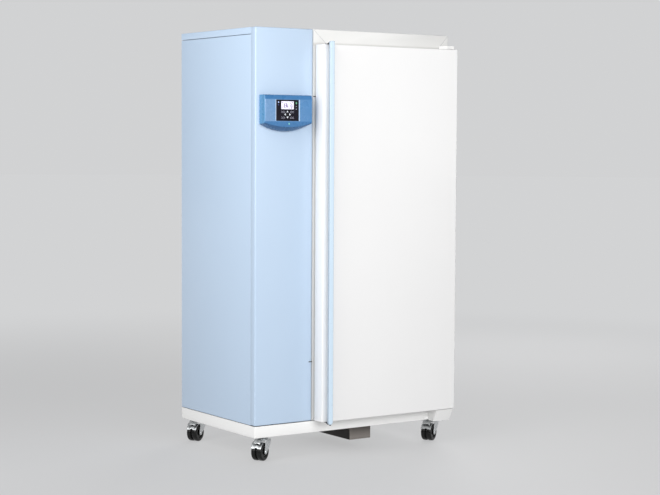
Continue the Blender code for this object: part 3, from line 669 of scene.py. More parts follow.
def build_column():
    low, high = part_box("column_front_panel")
    low.z += SEAM
    high.x -= SEAM
    piece("column_front_shell", "cabinet", shell(low, high, (1, 1), 0.0015, 0.0052, 5), "blue_paint",
          "column_front_panel")
    low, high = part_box("column_left_panel")
    piece("column_side_panel", "cabinet",
          shell(low + Vector((0, 0, SEAM)), (low.x + 0.014, high.y, high.z), (0, 1), 0.0015, 0.0012, 3),
          "blue_paint", "column_left_panel")
    low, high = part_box("column_top_cover")
    high.x -= SEAM
    piece("column_cover", "cabinet", shell(low, high, (2, -1), 0.0015, 0.0026, 4), "blue_paint",
          "column_top_cover")


def build_casing():
    low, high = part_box("chamber_casing")
    low.z += SEAM
    radius, sheet = 0.004, 0.0015
    outside = arc(high.x - radius, high.z - radius, radius, 0, pi / 2) + \
        arc(low.x + radius, high.z - radius, radius, pi / 2, pi)
    inside = arc(low.x + radius, high.z - radius, radius - sheet, pi, pi / 2) + \
        arc(high.x - radius, high.z - radius, radius - sheet, pi / 2, 0)
    section = [(high.x, low.z)] + outside + [(low.x, low.z), (low.x + sheet, low.z)] + inside + \
        [(high.x - sheet, low.z)]
    piece("casing_sheet", "cabinet",
          plate([section], high.y - low.y, (0, (low.y + high.y) / 2, 0), UPRIGHT, edge=0.0003),
          "white_paint", "chamber_casing")
    low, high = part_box("chamber_surround")
    land, front = low.y, FRONT
    slope, inner, sheet = 0.069, 0.093, 0.0012
    section = [(SEAM, FRONT + 0.005), (SEAM, front + 0.002), (SEAM + 0.0006, front + 0.0006),
               (SEAM + 0.002, front), (slope - 0.001, land + 0.0002), (slope + 0.001, land),
               (inner - 0.0012, land),
               (inner - 0.0002, land + 0.0003), (inner, land + 0.0014), (inner, FRONT + 0.007),
               (inner - sheet, FRONT + 0.007), (inner - sheet, land + sheet + 0.0006),
               (slope, land + sheet), (SEAM + sheet + 0.001, front + sheet), (SEAM + sheet, FRONT + 0.005)]
    piece("surround_frame", "cabinet", mitred(section, low.x, high.x, low.z, high.z), "frame_paint",
          "chamber_surround", smooth=50)
    seams = []
    for x, z, across, up in ((low.x, low.z, 1, 1), (high.x, low.z, -1, 1), (high.x, high.z, -1, -1),
                             (low.x, high.z, 1, -1)):
        start = Vector((x + across * 0.003, front + 0.00005, z + up * 0.003))
        end = Vector((x + across * slope, land - 0.00005, z + up * slope))
        seams.append(tube([start, end], 0.0006, sides=6))
    piece("surround_mitre_seams", "cabinet", joined(*seams), "seal")
    slots = []
    for left, right, z, tall in ((SPLIT + 0.0010, SPLIT + 0.0150, 1.6170, 0.0036),
                                 (SPLIT - 0.0190, SPLIT - 0.0012, 0.4280, 0.0030)):
        outline = corners(left, right, z - tall / 2, z + tall / 2, tall * 0.4)
        slots.append(plate([outline], 0.0050, (0, FRONT - 0.0006, 0), UPRIGHT, edge=0.0004))
    piece("adjuster_slots", "cabinet", joined(*slots), "black_plastic")


def build_chamber():
    low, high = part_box("inner_chamber")
    wall, sheet = 0.0225, 0.001          # the front flange's reach round the opening, and its steel
    rows = []
    for out, y, radius in ((wall, low.y, 0.020), (0.004, low.y, 0.016), (0.001, low.y + 0.0012, 0.013),
                           (0, low.y + 0.004, 0.012), (0, high.y - 0.014, 0.012),
                           (-0.003, high.y - 0.004, 0.010), (-0.012, high.y - sheet, 0.006)):
        inset = wall - out
        outline = corners(low.x + inset, high.x - inset, low.z + inset, high.z - inset, radius, 6)
        rows.append([(x, y, z) for x, z in outline])
    piece("chamber_liner", "cabinet", loft(rows, last=True), "steel_deep", "inner_chamber", smooth=45)


def build_shelves():
    rim, bar, stay, bars, margin = 0.0029, 0.0015, 0.0017, 30, 0.014
    for number in (1, 2, 3):
        node = f"shelf_{number}"
        low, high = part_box(node)
        middle = (low.z + high.z) / 2
        left, right, front, back = low.x + rim, high.x - rim, low.y + rim, high.y - rim
        outer = [(x, y, middle) for x, y in corners(left, right, front, back, 0.012)]
        shapes = [tube(outer, rim, closed=True, sides=10)]
        for share in (0.27, 0.5, 0.73):
            y, z = low.y + (high.y - low.y) * share, middle - 0.0012
            shapes.append(tube([(left, y, z), (right, y, z)], stay, sides=8))
        for i in range(bars):
            x, z = low.x + margin + (high.x - low.x - 2 * margin) * i / (bars - 1), middle + 0.0010
            shapes.append(tube([(x, front, z), (x, back, z)], bar, sides=8))
        piece(f"wire_shelf_{number}", node, joined(*shapes), "steel_upright", node)


def build_fan(name, node, blades, look):
    """A moulded wheel: hub and pitched blades, facing -Y."""
    low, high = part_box(node)
    centre, radius, depth = (low + high) / 2, (high.x - low.x) / 2, high.y - low.y
    hub = radius * 0.27
    profile = [(0, depth / 2), (hub * 0.7, depth / 2), (hub, depth * 0.35), (hub, -depth / 2), (0, -depth / 2)]
    shapes = [lathe(profile, centre, FACING["-Y"])]
    thick = 0.0012
    for i in range(blades):
        rows = []
        for step in range(6):
            share = step / 5
            r = hub * 0.95 + (radius - hub * 0.95) * share
            twist = 0.42 - 0.2 * share
            wide = (0.85 + 0.35 * share) * 2 * pi / blades * 0.72
            section = []
            for side in (1, -1):
                for k in range(5) if side > 0 else range(4, -1, -1):
                    along = k / 4 - 0.5
                    angle = 2 * pi * i / blades + along * wide + 0.25 * share
                    y = centre.y + along * depth * 0.9 * (1.3 - twist) + side * thick / 2
                    section.append((centre.x + r * cos(angle), y, centre.z + r * sin(angle)))
            rows.append(section)
        shapes.append(loft(rows, first=True, last=True))
    piece(name, node, joined(*shapes), look, node, smooth=50)


def build_inside():
    low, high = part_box("rear_baffle")
    fan_low, fan_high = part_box("chamber_fan")
    x, z = (fan_low.x + fan_high.x) / 2, (fan_low.z + fan_high.z) / 2
    rings = []
    for i in range(7):
        radius = 0.016 + i * 0.0115
        rings.append(tube([(px, low.y - 0.004, pz) for px, pz in circle(x, z, radius, 40)], 0.0009, True, 6))
    for angle in (pi / 4, 3 * pi / 4):
        reach = 0.087
        rings.append(tube([(x + reach * cos(angle), low.y - 0.0026, z + reach * sin(angle)),
                           (x - reach * cos(angle), low.y - 0.0026, z - reach * sin(angle))], 0.0013, sides=8))
    piece("fan_guard", "cabinet", joined(*rings), "bright_zinc")
    places = [(px, low.y - 0.0001, pz) for px in (low.x + 0.03, high.x - 0.03) for pz in
              (low.z + 0.07, (low.z + high.z) / 2, high.z - 0.07)]
    screws("baffle_screws", "cabinet", places, "-Y", 0.0045)
    probe = [(low.x + 0.06, low.y - 0.0005, z + 0.30), (low.x + 0.06, low.y - 0.018, z + 0.30),
             (low.x + 0.06, low.y - 0.022, z + 0.294), (low.x + 0.06, low.y - 0.022, z + 0.22)]
    piece("temperature_probe", "cabinet", joined(tube(probe, 0.0024), block(
        (low.x + 0.052, low.y - 0.004, z + 0.292), (low.x + 0.068, low.y - 0.0002, z + 0.308), 0.0015)),
        "steel_upright")
    build_fan("circulation_fan", "chamber_fan", 6, "black_plastic")
    build_fan("condenser_fan_wheel", "condenser_fan", 5, "dark_metal")


def build_rear():
    low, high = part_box("column_rear_panel")
    places = [(x, high.y, z) for x in (low.x + 0.010, high.x - 0.010) for z in
              (low.z + 0.03, low.z + 0.45, low.z + 0.9, low.z + 1.32, high.z - 0.03)]
    screws("column_rear_screws", "cabinet", places, "+Y", 0.0045)
    low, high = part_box("chamber_rear_panel")
    places = [(x, high.y, z) for x in (low.x + 0.016, (low.x + high.x) / 2, high.x - 0.016) for z in
              (low.z + 0.03, low.z + 0.55, low.z + 1.1, high.z - 0.03)]
    screws("chamber_rear_screws", "cabinet", places, "+Y", 0.0045)
    half, left, right = 0.011, low.x + 0.06, high.x - 0.06
    ribs = [block((left, high.y - 0.001, z - half), (right, high.y + 0.0035, z + half), 0.0034)
            for z in (0.45, 0.85, 1.25, 1.65)]
    piece("rear_pressed_ribs", "cabinet", joined(*ribs), "galvanised")
    low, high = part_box("mains_inlet")
    rim = 0.0045
    outer = corners(low.x - rim, high.x + rim, low.z - rim, high.z + rim, 0.004)
    hole = corners(low.x + 0.0012, high.x - 0.0012, low.z + 0.0012, high.z - 0.0012, 0.003)
    face = plate([outer, hole], 0.0014, (0, high.y + 0.0003, 0), UPRIGHT)
    cup = shell(low, high, (1, 1), 0.0012, 0.002)
    x, z = (low.x + high.x) / 2, (low.z + high.z) / 2
    piece("inlet_body", "cabinet", joined(face, cup), "black_plastic", "mains_inlet")
    pins = [block((px - 0.001, low.y + 0.001, pz - 0.002), (px + 0.001, high.y - 0.004, pz + 0.002), 0.0006)
            for px, pz in ((x - 0.007, z - 0.002), (x + 0.007, z - 0.002), (x, z + 0.002))]
    piece("inlet_pins", "cabinet", joined(*pins), "bright_zinc")
    low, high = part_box("mains_switch")
    rim = 0.003
    outer = corners(low.x - rim, high.x + rim, low.z - rim, high.z + rim, 0.0025)
    hole = corners(low.x - 0.0006, high.x + 0.0006, low.z - 0.0006, high.z + 0.0006, 0.0008)
    bezel = plate([outer, hole], 0.002, (0, BACK - 0.0008, 0), UPRIGHT)
    piece("switch_bezel", "cabinet", bezel, "black_plastic")


# ---------------------------------------------------------------- door
def build_door():
    low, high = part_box("door_skin")
    piece("door_shell", "door", shell(low, high, (1, 1), 0.0012, 0.0042, 5), "door_paint",
          "door_skin")
    low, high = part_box("door_liner")
    back, sheet, around = high.y, 0.0012, 0.001
    section = [(0.001, back - 0.001), (0.0014, back - 0.0002), (0.0024, back), (0.106, back),
               (0.1085, back - 0.0006), (0.1145, back - 0.0082), (0.117, back - 0.009)]

    section += [(0.150, back - 0.009), (0.153, back - 0.0085), (0.156, back - 0.0062), (0.159, back - 0.0057)]
    rows = []
    for inset, y in section:
        outline = corners(low.x - around + inset, high.x + around - inset, low.z - around + inset,
                          high.z + around - inset)
        rows.append([(x, y, z) for x, z in outline])
    liner = loft(rows, last=True)
    solid = {"thickness": sheet, "offset": -1, "use_even_offset": True}
    piece("door_liner_sheet", "door", modified(liner, ("SOLIDIFY", solid)), "door_paint", "door_liner",
          smooth=50)
    low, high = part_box("door_gasket")
    deep = high.y - low.y
    wide = 0.020
    section = [(0.002, low.y), (0.0, low.y + deep * 0.35), (0.0022, low.y + deep * 0.75), (0.006, high.y),
               (0.0088, high.y - deep * 0.25), (0.0105, high.y - deep * 0.45), (0.0125, high.y - deep * 0.2),
               (0.0155, high.y - deep * 0.02), (0.0188, high.y - deep * 0.3), (wide, low.y + deep * 0.3),
               (0.0178, low.y)]
    piece("gasket_profile", "door", mitred(section, low.x, high.x, low.z, high.z), "seal", "door_gasket",
          smooth=60)
    build_handle()
    low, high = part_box("upper_hinge_bracket")
    taper, right = 0.014, high.x - 0.004
    plan = [(low.x, high.y), (right, high.y), (right, low.y), (low.x + taper, low.y)]
    pin_low, pin_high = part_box("hinge_pin_upper")
    x, y = (pin_low.x + pin_high.x) / 2, (pin_low.y + pin_high.y) / 2
    hole = circle(x, y, 0.0062)
    piece("hinge_bracket", "cabinet",
          plate([plan[::-1], hole], high.z - low.z, (0, 0, (low.z + high.z) / 2), edge=0.0016, steps=3),
          "white_paint", "upper_hinge_bracket")
    for node, name in (("hinge_pin_lower", "lower_pin"), ("hinge_pin_upper", "upper_pin")):
        low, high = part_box(node)
        up = node.endswith("upper")
        long = high.z - low.z
        profile = [(0, long), (0.0046, long), (0.0057, long - 0.0012), (0.0057, 0.0014), (0.0094, 0.0014),
                   (0.0100, 0.0008), (0.0100, 0.0), (0, 0)]
        piece(name, "door", lathe(profile, (x, y, low.z if up else high.z), FLAT if up else FACING["-Z"]),
              "steel_upright", node)


def build_handle():
    """A flat extrusion with round edges; its ends are domed by dark plugs."""
    low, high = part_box("handle_bar")
    low.x += 0.0030
    high.x += 0.0010
    centre_x, centre_y = (low.x + high.x) / 2, (low.y + high.y) / 2
    half_x, half_y = (high.x - low.x) / 2, (high.y - low.y) / 2
    section = [(x - centre_x, y - centre_y) for x, y in corners(low.x, high.x, low.y, high.y, half_y * 0.93, 6)]

    def ring(z, grow):
        sx, sy = (half_x + grow) / half_x, 1 + min(grow, 0) / half_x * 0.35
        return [(centre_x + x * sx, centre_y + y * sy, z) for x, y in section]

    steps = 6
    bottom, top = low.z + 0.0150, high.z - 0.0040

    def dome(z, reach, start, end, shrink=0.0):
        """Rings that close the bar along a quarter ellipse; a reach below zero goes downwards."""
        rows = []
        for i in range(steps + 1):
            angle = pi / 2 * (start + (end - start) * i / steps)
            rows.append(ring(z + reach * sin(angle), -half_x * (1 - cos(angle)) * 0.97 - shrink))
        return rows

    bar = dome(bottom, -0.0115, 0.92, 0) + [ring(bottom + 0.3, 0), ring(top - 0.3, 0)]
    bar += dome(top, 0.0036, 0, 0.92)
    piece("handle_extrusion", "door", loft(bar, first=True, last=True), "blue_bar", "handle_bar",
          smooth=35)
    lower = loft(dome(bottom - 0.0005, -0.0145, 0.20, 0.99, 0.0045), first=True, last=True)
    upper = block((high.x - 0.0075, low.y + 0.002, top - 0.003),
                  (high.x - 0.0012, high.y - 0.002, high.z - 0.0008), 0.001)
    for end, plug in (("bottom", lower), ("top", upper)):
        piece("handle_plug_" + end, "door", plug, "black_plastic", smooth=60)
    for node, way in (("handle_bracket_top", 1), ("handle_bracket_bottom", -1)):
        low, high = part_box(node)
        low.x += 0.0045
        middle, fold, sheet = (low.x + high.x) / 2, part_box("door_skin")[0].y - 0.001, way * 0.0016
        edge, tip = (low.z, high.z + 0.0012) if way > 0 else (high.z, low.z - 0.0012)
        bend = [(high.y, edge), (fold, edge), (low.y + 0.0004, tip), (low.y + 0.0004, tip + sheet * 1.5),
                (fold, edge + sheet), (high.y, edge + sheet)]
        tab = plate([bend], high.x - low.x, (middle, 0, 0), SIDEWAYS, edge=0.0003)
        piece(node.replace("bracket", "tab"), "door", tab, "dark_metal", node)
        places = [(middle + shift, high.y - 0.006, edge + sheet) for shift in (-0.0045, 0.0045)]
        screws(node.replace("bracket", "tab_screws"), "door", places, "+Z" if way > 0 else "-Z", 0.0024)


def build_glass_door():
    low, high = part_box("glass_pane")
    piece("glass_sheet", "glass_door", block(low, high, 0.0009, 2), "glass", "glass_pane")
    x, z = low.x + 0.030, (low.z + high.z) / 2
    profile = [(0, 0.013), (0.006, 0.013), (0.0078, 0.0118), (0.0082, 0.010), (0.0052, 0.005), (0.0048, 0.0018),
               (0.009, 0.0012), (0.0095, 0.0), (0, 0)]
    knobs = [lathe(profile, (x, low.y, z), FACING["-Y"]),
             lathe([(r, h * 0.35) for r, h in profile], (x, high.y, z), FACING["+Y"])]
    piece("glass_knob", "glass_door", joined(*knobs), "steel_upright")
    y, half, inner, web = (low.y + high.y) / 2, 0.0052, 0.0033, 0.0025
    for node in ("glass_clamp_top", "glass_clamp_bottom"):
        low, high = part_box(node)
        top = node.endswith("top")
        bottom_z, top_z = (low.z, high.z - 0.0070) if top else (low.z + 0.0070, high.z)
        edge = top_z - web if top else bottom_z
        shapes = [block((low.x, y - half, bottom_z), (high.x, y - inner, top_z), 0.0008),
                  block((low.x, y + inner, bottom_z), (high.x, y + half, top_z), 0.0008),
                  block((low.x, y - half, edge), (high.x, y + half, edge + web), 0.0008)]
        pin, long = [(0, 0.009), (0.0018, 0.009), (0.0025, 0.0083), (0.0025, 0), (0, 0)], 0.009
        foot = (high.x - 0.0040, y, high.z - long if top else low.z + long)
        shapes.append(lathe(pin, foot, FLAT if top else FACING["-Z"], 16))
        piece(node.replace("clamp", "clamp_body"), "glass_door", joined(*shapes), "steel_upright", node)
        place = (low.x + 0.010, y - half, (low.z + high.z) / 2)
        screws(node.replace("clamp", "clamp_screw"), "glass_door", [place], "-Y", 0.0036)


# ---------------------------------------------------------------- control panel
def build_housing():
    """The bowed housing, with a seat cut for the fascia and a strip of trim at each side of it."""
    low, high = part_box("control_housing")
    wall, front = high.y, low.y
    half, middle = (high.x - low.x) / 2, (low.x + high.x) / 2
    side_z, sag = low.z + 0.032, 0.032
    columns, turned, edge = 40, 4, 0.006

    def arc_z(x, ends, depth):
        radius = (half * half + depth * depth) / (2 * depth)
        across = min(half, abs(x - middle))
        return ends - depth + radius - (radius * radius - across * across) ** 0.5

    seat_low, seat_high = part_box("control_fascia")
    crease_top, crease_bottom = seat_high.z + 0.0022, seat_low.z - 0.0022
    rows = []
    for i in range(-turned, columns + turned + 1):
        turn = pi / 2 * max(-i, i - columns, 0) / turned
        slide, y = edge * (1 - sin(turn)), front + edge * (1 - cos(turn))
        if i < 0:
            x = low.x + slide
        elif i > columns:
            x = high.x - slide
        else:
            x = low.x + edge + 2 * (half - edge) * i / columns
        outer, inner = arc_z(x, side_z, sag), arc_z(x, side_z + 0.0045, 0.0195)
        section = [(wall, high.z - 0.0005), (y + 0.012, high.z - 0.0002), (y + 0.0062, high.z - 0.0012),
                   (y + 0.0036, high.z - 0.0032), (y + 0.0026, high.z - 0.0058),
                   (y + 0.0004, crease_top + 0.0006), (y + 0.00005, crease_top - 0.0010),
                   (y + 0.00005, (crease_top + crease_bottom) / 2), (y + 0.00005, crease_bottom + 0.0010),
                   (y + 0.0004, crease_bottom - 0.0006), (y + 0.0017, inner + 0.0030),
                   (y + 0.0030, inner + 0.0006), (y + 0.0052, inner - 0.0012),
                   (y + 0.016, outer + (inner - outer) * 0.40), (y + 0.026, outer + 0.0012), (wall, outer)]
        rows.append([(x, py, pz) for py, pz in section])
    seat = block((seat_low.x - 0.0003, front - 0.02, seat_low.z - 0.0003),
                 (seat_high.x + 0.0003, front + 0.009, seat_high.z + 0.0003), 0.0004, 1)
    cutter = bpy.data.objects.new("cutter", seat)
    SCENE.collection.objects.link(cutter)
    housing = modified(loft(rows, first=True, last=True),
                       ("BOOLEAN", {"operation": "DIFFERENCE", "object": cutter, "solver": "EXACT"}))
    bpy.data.objects.remove(cutter, do_unlink=True)
    piece("panel_housing", "cabinet", housing, "housing", "control_housing", smooth=28)
    bottom, top = seat_low.z - 0.0010, seat_high.z + 0.0010
    trim = [block((x, front - 0.0006, bottom), (x + wide, front + 0.003, top), 0.0006)
            for x, wide in ((seat_low.x - 0.0036, 0.0028), (seat_high.x + 0.0008, 0.0046))]
    piece("fascia_trim", "cabinet", joined(*trim), "housing_trim")


def build_fascia():
    low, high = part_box("control_fascia")
    screen_low, screen_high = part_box("display")
    gap = 0.0002
    loops = [corners(low.x, high.x, low.z, high.z, 0.0012),
             corners(screen_low.x - gap, screen_high.x + gap, screen_low.z - gap, screen_high.z + gap, 0.0010)]
    loops += [key_outline(node, direction, 0.0003) for node, direction in KEYS.items()]
    fascia = plate(loops, high.y - low.y, (0, (low.y + high.y) / 2, 0), UPRIGHT, edge=0.0003)
    piece("fascia_plate", "cabinet", fascia, "fascia", "control_fascia")
    piece("screen_panel", "cabinet", block(screen_low, screen_high, 0.0006, 2), "screen", "display")
    for node, direction in KEYS.items():
        key_low, key_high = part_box(node)
        cap = plate([key_outline(node, direction, -0.0001)], key_high.y - key_low.y,
                    (0, (key_low.y + key_high.y) / 2, 0), UPRIGHT, edge=0.0007, steps=3)
        piece(node + "_cap", node, cap, "key_white" if any(direction) else "black_plastic", node)


def build_marks():
    """Plain marks, lamps and screen bars that stand in for the print."""
    low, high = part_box("control_fascia")
    screen_low, screen_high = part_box("display")
    key = sum(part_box("key_centre"), Vector()) / 2
    left, right, face = low.x + 0.0125, high.x - 0.0125, low.y
    marks = []
    for side in (-1, 1):
        for z in (key.z + 0.0125, key.z - 0.0125):
            for i in range(4):
                x = key.x + side * (0.0150 + i * 0.0052)
                marks.append((x, z + (0.0014 if i % 2 else 0), 0.0034, 0.0026))
                marks.append((x, z - 0.0044, 0.0040, 0.0018))
    marks += [(right, screen_low.z + 0.0125, 0.0046, 0.0036), (right, screen_low.z + 0.0010, 0.0046, 0.0036)]
    shapes = [block((x - w / 2, face - 0.00018, z - h / 2), (x + w / 2, face + 0.0004, z + h / 2),
                    min(w, h) * 0.2, 2) for x, z, w, h in marks]
    piece("fascia_marks", "cabinet", joined(*shapes), "mark_grey")

    lens = [(0, 0.0011), (0.0016, 0.0010), (0.0026, 0.0006), (0.0031, 0), (0, 0)]
    lens_z = screen_high.z - 0.0045

    def lamp(name, place, wide, tall, look):
        profile = [(r * wide, h * tall) for r, h in lens]
        piece(name, "cabinet", lathe(profile, place, FACING["-Y"], 20), look)

    lamp("blue_lens", (left, face, lens_z), 1.05, 1, "light_blue")
    lamp("dim_lens", (left, face, lens_z - 0.0115), 0.7, 1, "light_dim")
    icon = [(right + r * 0.0042 * cos(a), lens_z - 0.003 + r * 0.0052 * sin(a)) for a, r in
            ((2 * pi * k / 24, 1.0 if k % 2 else 0.86) for k in range(24))]
    piece("green_icon", "cabinet", plate([icon], 0.0006, (0, face, 0), UPRIGHT, edge=0.0001), "icon_green")
    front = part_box("control_housing")[0].y
    lamp("power_lamp", (low.x + 0.0675, front + 0.0008, low.z - 0.0022 - 0.0105), 1.15, 1.2, "light_green")

    wide, tall = screen_high.x - screen_low.x, screen_high.z - screen_low.z
    ink = []
    for x, z, w, h in ((0.23, 0.46, 0.06, 0.50), (0.31, 0.66, 0.08, 0.08), (0.32, 0.44, 0.08, 0.07),
                       (0.31, 0.24, 0.08, 0.07), (0.41, 0.48, 0.05, 0.50), (0.47, 0.40, 0.04, 0.36),
                       (0.52, 0.30, 0.10, 0.10), (0.38, 0.78, 0.10, 0.06), (0.53, 0.56, 0.03, 0.20),
                       (0.76, 0.74, 0.04, 0.22), (0.82, 0.62, 0.06, 0.08), (0.76, 0.42, 0.07, 0.14),
                       (0.86, 0.36, 0.05, 0.30), (0.80, 0.16, 0.08, 0.12), (0.88, 0.84, 0.06, 0.10),
                       (0.10, 0.84, 0.10, 0.06), (0.08, 0.16, 0.06, 0.06), (0.62, 0.12, 0.05, 0.10)):
        at = Vector((screen_low.x + wide * x, screen_low.y - 0.00015, screen_low.z + tall * z))
        size = Vector((wide * w / 2, 0.00015, tall * h / 2))
        ink.append(block(at - size, at + size, 0.00012, 1))
    piece("screen_bars", "cabinet", joined(*ink), "screen_ink")


KEYS = {"key_up": (0, 1), "key_down": (0, -1), "key_left": (-1, 0), "key_right": (1, 0), "key_centre": (0, 0)}


def key_outline(node, direction, grow):
    """The key's outline in X and Z, with rounded corners, larger by grow."""
    low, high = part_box(node)
    x, z = (low.x + high.x) / 2, (low.z + high.z) / 2
    across, up = direction
    if direction == (0, 0):
        return circle(x, z, (high.x - low.x) / 2 + grow, 28)
    if across:
        tip, base = ((high.x, z), low.x) if across > 0 else ((low.x, z), high.x)
        points = [Vector(tip), Vector((base, low.z)), Vector((base, high.z))]
    else:
        tip, base = ((x, high.z), low.z) if up > 0 else ((x, low.z), high.z)
        points = [Vector(tip), Vector((low.x, base)), Vector((high.x, base))]
    centre = sum(points, Vector((0, 0))) / 3
    points = [centre + (p - centre) * (1 + grow / 0.0028) for p in points]
    rounded = []
    for i, p in enumerate(points):
        before, after = points[i - 1], points[(i + 1) % 3]
        for share in (0.16, 0.09, 0.0):
            rounded.append(p + (before - p) * share + (centre - p) * (0.03 if share else 0.075))
        for share in (0.09, 0.16):
            rounded.append(p + (after - p) * share + (centre - p) * 0.03)
    return [tuple(p) for p in rounded]


# ---------------------------------------------------------------- tray and castors
def build_tray():
    low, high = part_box("drip_tray")
    pan = shell(low, high, (2, 1), 0.0012, 0.0028, 4)
    inset, radius = 0.0020, 0.0016
    rim = corners(low.x + inset, high.x - inset, low.y + inset, high.y - inset, 0.004)
    hem = tube([(x, y, high.z - 0.0022) for x, y in rim], radius, closed=True, sides=8)
    piece("tray_pan", "drip_tray", joined(pan, hem), "tray_steel", "drip_tray")


def castor_matrix(name):
    """Castor coordinates: origin on the floor under the swivel, X the way that the wheel trails."""
    wheel_low, wheel_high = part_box(name + "_wheel")
    joint = next(j for j in frame["joints"] if j["name"] == name + "_swivel")
    place = Vector(joint["pos_m"])
    hub = (wheel_low + wheel_high) / 2
    heading = Vector((hub.x - place.x, hub.y - place.y, 0)).normalized()
    side = Vector((0, 0, 1)).cross(heading)
    turn = Matrix((heading, side, (0, 0, 1))).transposed().to_4x4()
    return Matrix.Translation((place.x, place.y, 0)) @ turn


TRAIL, AXLE, WHEEL = 0.022, 0.040, 0.040        # hub behind the swivel, hub height, wheel radius


def castor_fork(name, home):
    half, sheet = 0.0306, 0.0026
    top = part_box(name + "_fork")[1].z
    side = [(-0.0245, 0.090), (-0.0225, 0.0935), (0.0225, 0.0935), (0.0252, 0.090), (0.0262, 0.080),
            (0.0305, 0.056), (0.0322, 0.046)]
    side += arc(TRAIL, AXLE, 0.0108, radians(12), radians(-170), 10)
    side += [(0.0085, 0.0425), (-0.004, 0.0510), (-0.0150, 0.0625), (-0.0215, 0.0730), (-0.0240, 0.0820)]
    nut = [(0, 0.0044), (0.0030, 0.0044), (0.0042, 0.0036), (0.0060, 0.0034), (0.0066, 0.0022), (0.0066, 0),
           (0, 0)]
    shapes = []
    for way in (1, -1):
        shapes.append(plate([side], sheet, (0, way * (half - sheet / 2), 0), UPRIGHT, edge=0.0008, steps=3))
        shapes.append(lathe(nut, (TRAIL, way * half, AXLE), FACING["+Y" if way > 0 else "-Y"], 6))
    shapes.append(block((-0.0248, -half, 0.0866), (0.0250, half, 0.0945), 0.0036, 4))
    shapes.append(lathe([(0, 0.0985), (0.0245, 0.0985), (0.0262, 0.0972), (0.0262, 0.0954), (0.0240, 0.0940),
                         (0.0215, 0.0935), (0, 0.0935)]))
    shapes.append(lathe([(0, top), (0.0282, top), (0.0290, top - 0.0008), (0.0290, top - 0.0026),
                         (0.0278, top - 0.0036), (0.0225, top - 0.0048), (0, top - 0.0062)]))
    piece(name + "_yoke", name, moved(joined(*shapes), home), "bright_zinc", name + "_fork")


def castor_shoe(name, home):
    """The brake shoe: a ribbed sheet that follows the tyre, notched at its lower edge."""
    rows, steps = [], 12
    for angle, rib in ((24, 0.0), (34, 0.4), (46, 0.9), (58, 1.0), (70, 0.9), (82, 0.6)):
        row = []
        for k in range(steps + 1):
            across = -1 + 2 * k / steps
            notch = 0.006 * max(0.0, 1 - abs(across) * 3.2) if angle < 40 else 0
            radius = 0.0420 + 0.0008 * cos(across * pi * 2) * rib
            turn = radians(angle) + notch / radius
            row.append((TRAIL + radius * cos(turn), across * 0.0252, AXLE + radius * sin(turn)))
        rows.append(row)
    piece(name + "_shoe", name, moved(bent(rows, 0.0022, 1.0), home), "galvanised")


def castor_wheel(name, home):
    """Two treads with a groove between them, on a hub."""
    outer, bead = 0.0262, 0.0068
    profile = [(0.0, outer - 0.0055), (0.0085, outer - 0.0055), (0.0088, outer + 0.0010),
               (0.0125, outer + 0.0010), (0.0130, outer - 0.0040), (0.0215, outer - 0.0046),
               (0.0235, outer - 0.0012), (0.0265, outer - 0.0004), (0.0330, outer - 0.0004)]
    profile += [(WHEEL - bead + bead * sin(a), outer - 0.0072 + bead * cos(a)) for a in
                (radians(d) for d in (12, 28, 44, 60, 76, 90))]
    profile += [(WHEEL, 0.0075), (WHEEL - 0.0008, 0.0052), (WHEEL - 0.0040, 0.0036), (WHEEL - 0.0075, 0.0030)]
    profile += [(r, -h) for r, h in reversed(profile)]
    lay = Matrix.Translation((TRAIL, 0, AXLE)) @ Matrix.Rotation(-pi / 2, 4, "X")
    wheel = moved(lathe(profile, turn=lay, steps=56), home)
    piece(name + "_tyre", name + "_wheel", wheel, "tread", name + "_wheel", smooth=35)


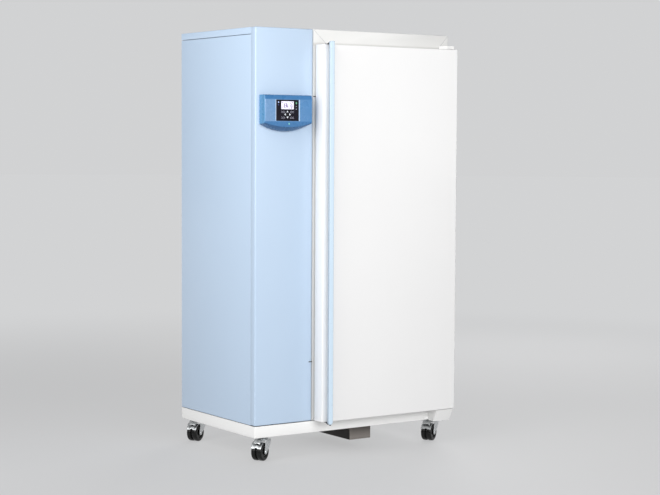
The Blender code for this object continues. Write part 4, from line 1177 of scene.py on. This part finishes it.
def castor_pedal(name, home):
    body, steps, start = name + "_pedal", 8, 0.0285
    rows = []
    for x, z in ((-0.004, 0.0962), (0.004, 0.0972), (0.012, 0.0962), (0.022, 0.0925), (0.029, 0.0880),
                 (0.0320, 0.0842)):
        row = []
        for k in range(steps + 1):
            across = -1 + 2 * k / steps
            drop = 0.0042 * max(0.0, abs(across) - 0.6) / 0.4
            row.append((start + x * 0.95, across * 0.0205, z - 0.0022 - drop))
        rows.append(row)
    piece(name + "_lever", body, moved(bent(rows, 0.0018, 0), home), "bright_zinc", body)
    pad = block((0.0440, -0.0150, 0.0820), (0.0580, 0.0150, 0.0860), 0.0015)
    middle = Vector((0.051, 0, 0.0850))
    tilt = Matrix.Translation(middle) @ Matrix.Rotation(radians(20), 4, "Y") @ Matrix.Translation(-middle)
    piece(name + "_lever_pad", body, moved(pad, home @ tilt), "black_rubber")


def build_castor(name):
    home = castor_matrix(name)
    for part in (castor_fork, castor_shoe, castor_wheel, castor_pedal):
        part(name, home)


# ---------------------------------------------------------------- CAD nodes that stay, and the floor
KEPT = {
    "chamber_rear_panel": "galvanised", "column_rear_panel": "galvanised", "insulation": "foam",
    "shelf_rail_left": "steel_deep", "shelf_rail_right": "steel_deep", "rear_baffle": "steel_upright",
    "fan_motor": "dark_metal", "evaporator": "fins", "compressor": "dark_metal", "condenser": "fins",
    "controller_board": "circuit", "mains_switch": "black_plastic", "door_insulation": "foam",
}


def keep_nodes():
    for node, look in KEPT.items():
        made = frame["nodes"][node]
        made.data.materials.clear()
        made.data.materials.append(LOOKS[look])


def make_floor():
    """Pale floor that glows a little, so shadows stay light, and fades into the backdrop."""
    look = Look("floor", Roughness=0.75, Emission_Strength=1.0, Specular_IOR_Level=0.15)
    away = look.node("VectorMath", {0: look.point()}, operation="LENGTH").outputs["Value"]
    fade = look.ease(away, 1.6, 6.5)
    pale = look.cloud((0.188, 0.188, 0.190), (0.198, 0.198, 0.200), 0.6, 2)
    look.set("Base Color", look.blend(fade, pale, (0, 0, 0)))
    look.set("Emission Color", look.blend(fade, (0.428, 0.430, 0.434), BACKDROP))
    bm = bmesh.new()
    bmesh.ops.create_circle(bm, cap_ends=True, radius=60, segments=64)
    made = bpy.data.objects.new("floor", mesh_from(bm))
    made.data.materials.append(look.material)
    SCENE.collection.objects.link(made)


build_base()
build_column()
build_casing()
build_chamber()
build_shelves()
build_inside()
build_rear()
build_door()
build_glass_door()
build_housing()
build_fascia()
build_marks()
build_tray()
for castor in ("castor_front_left", "castor_front_right", "castor_back_left", "castor_back_right"):
    build_castor(castor)
keep_nodes()
make_floor()
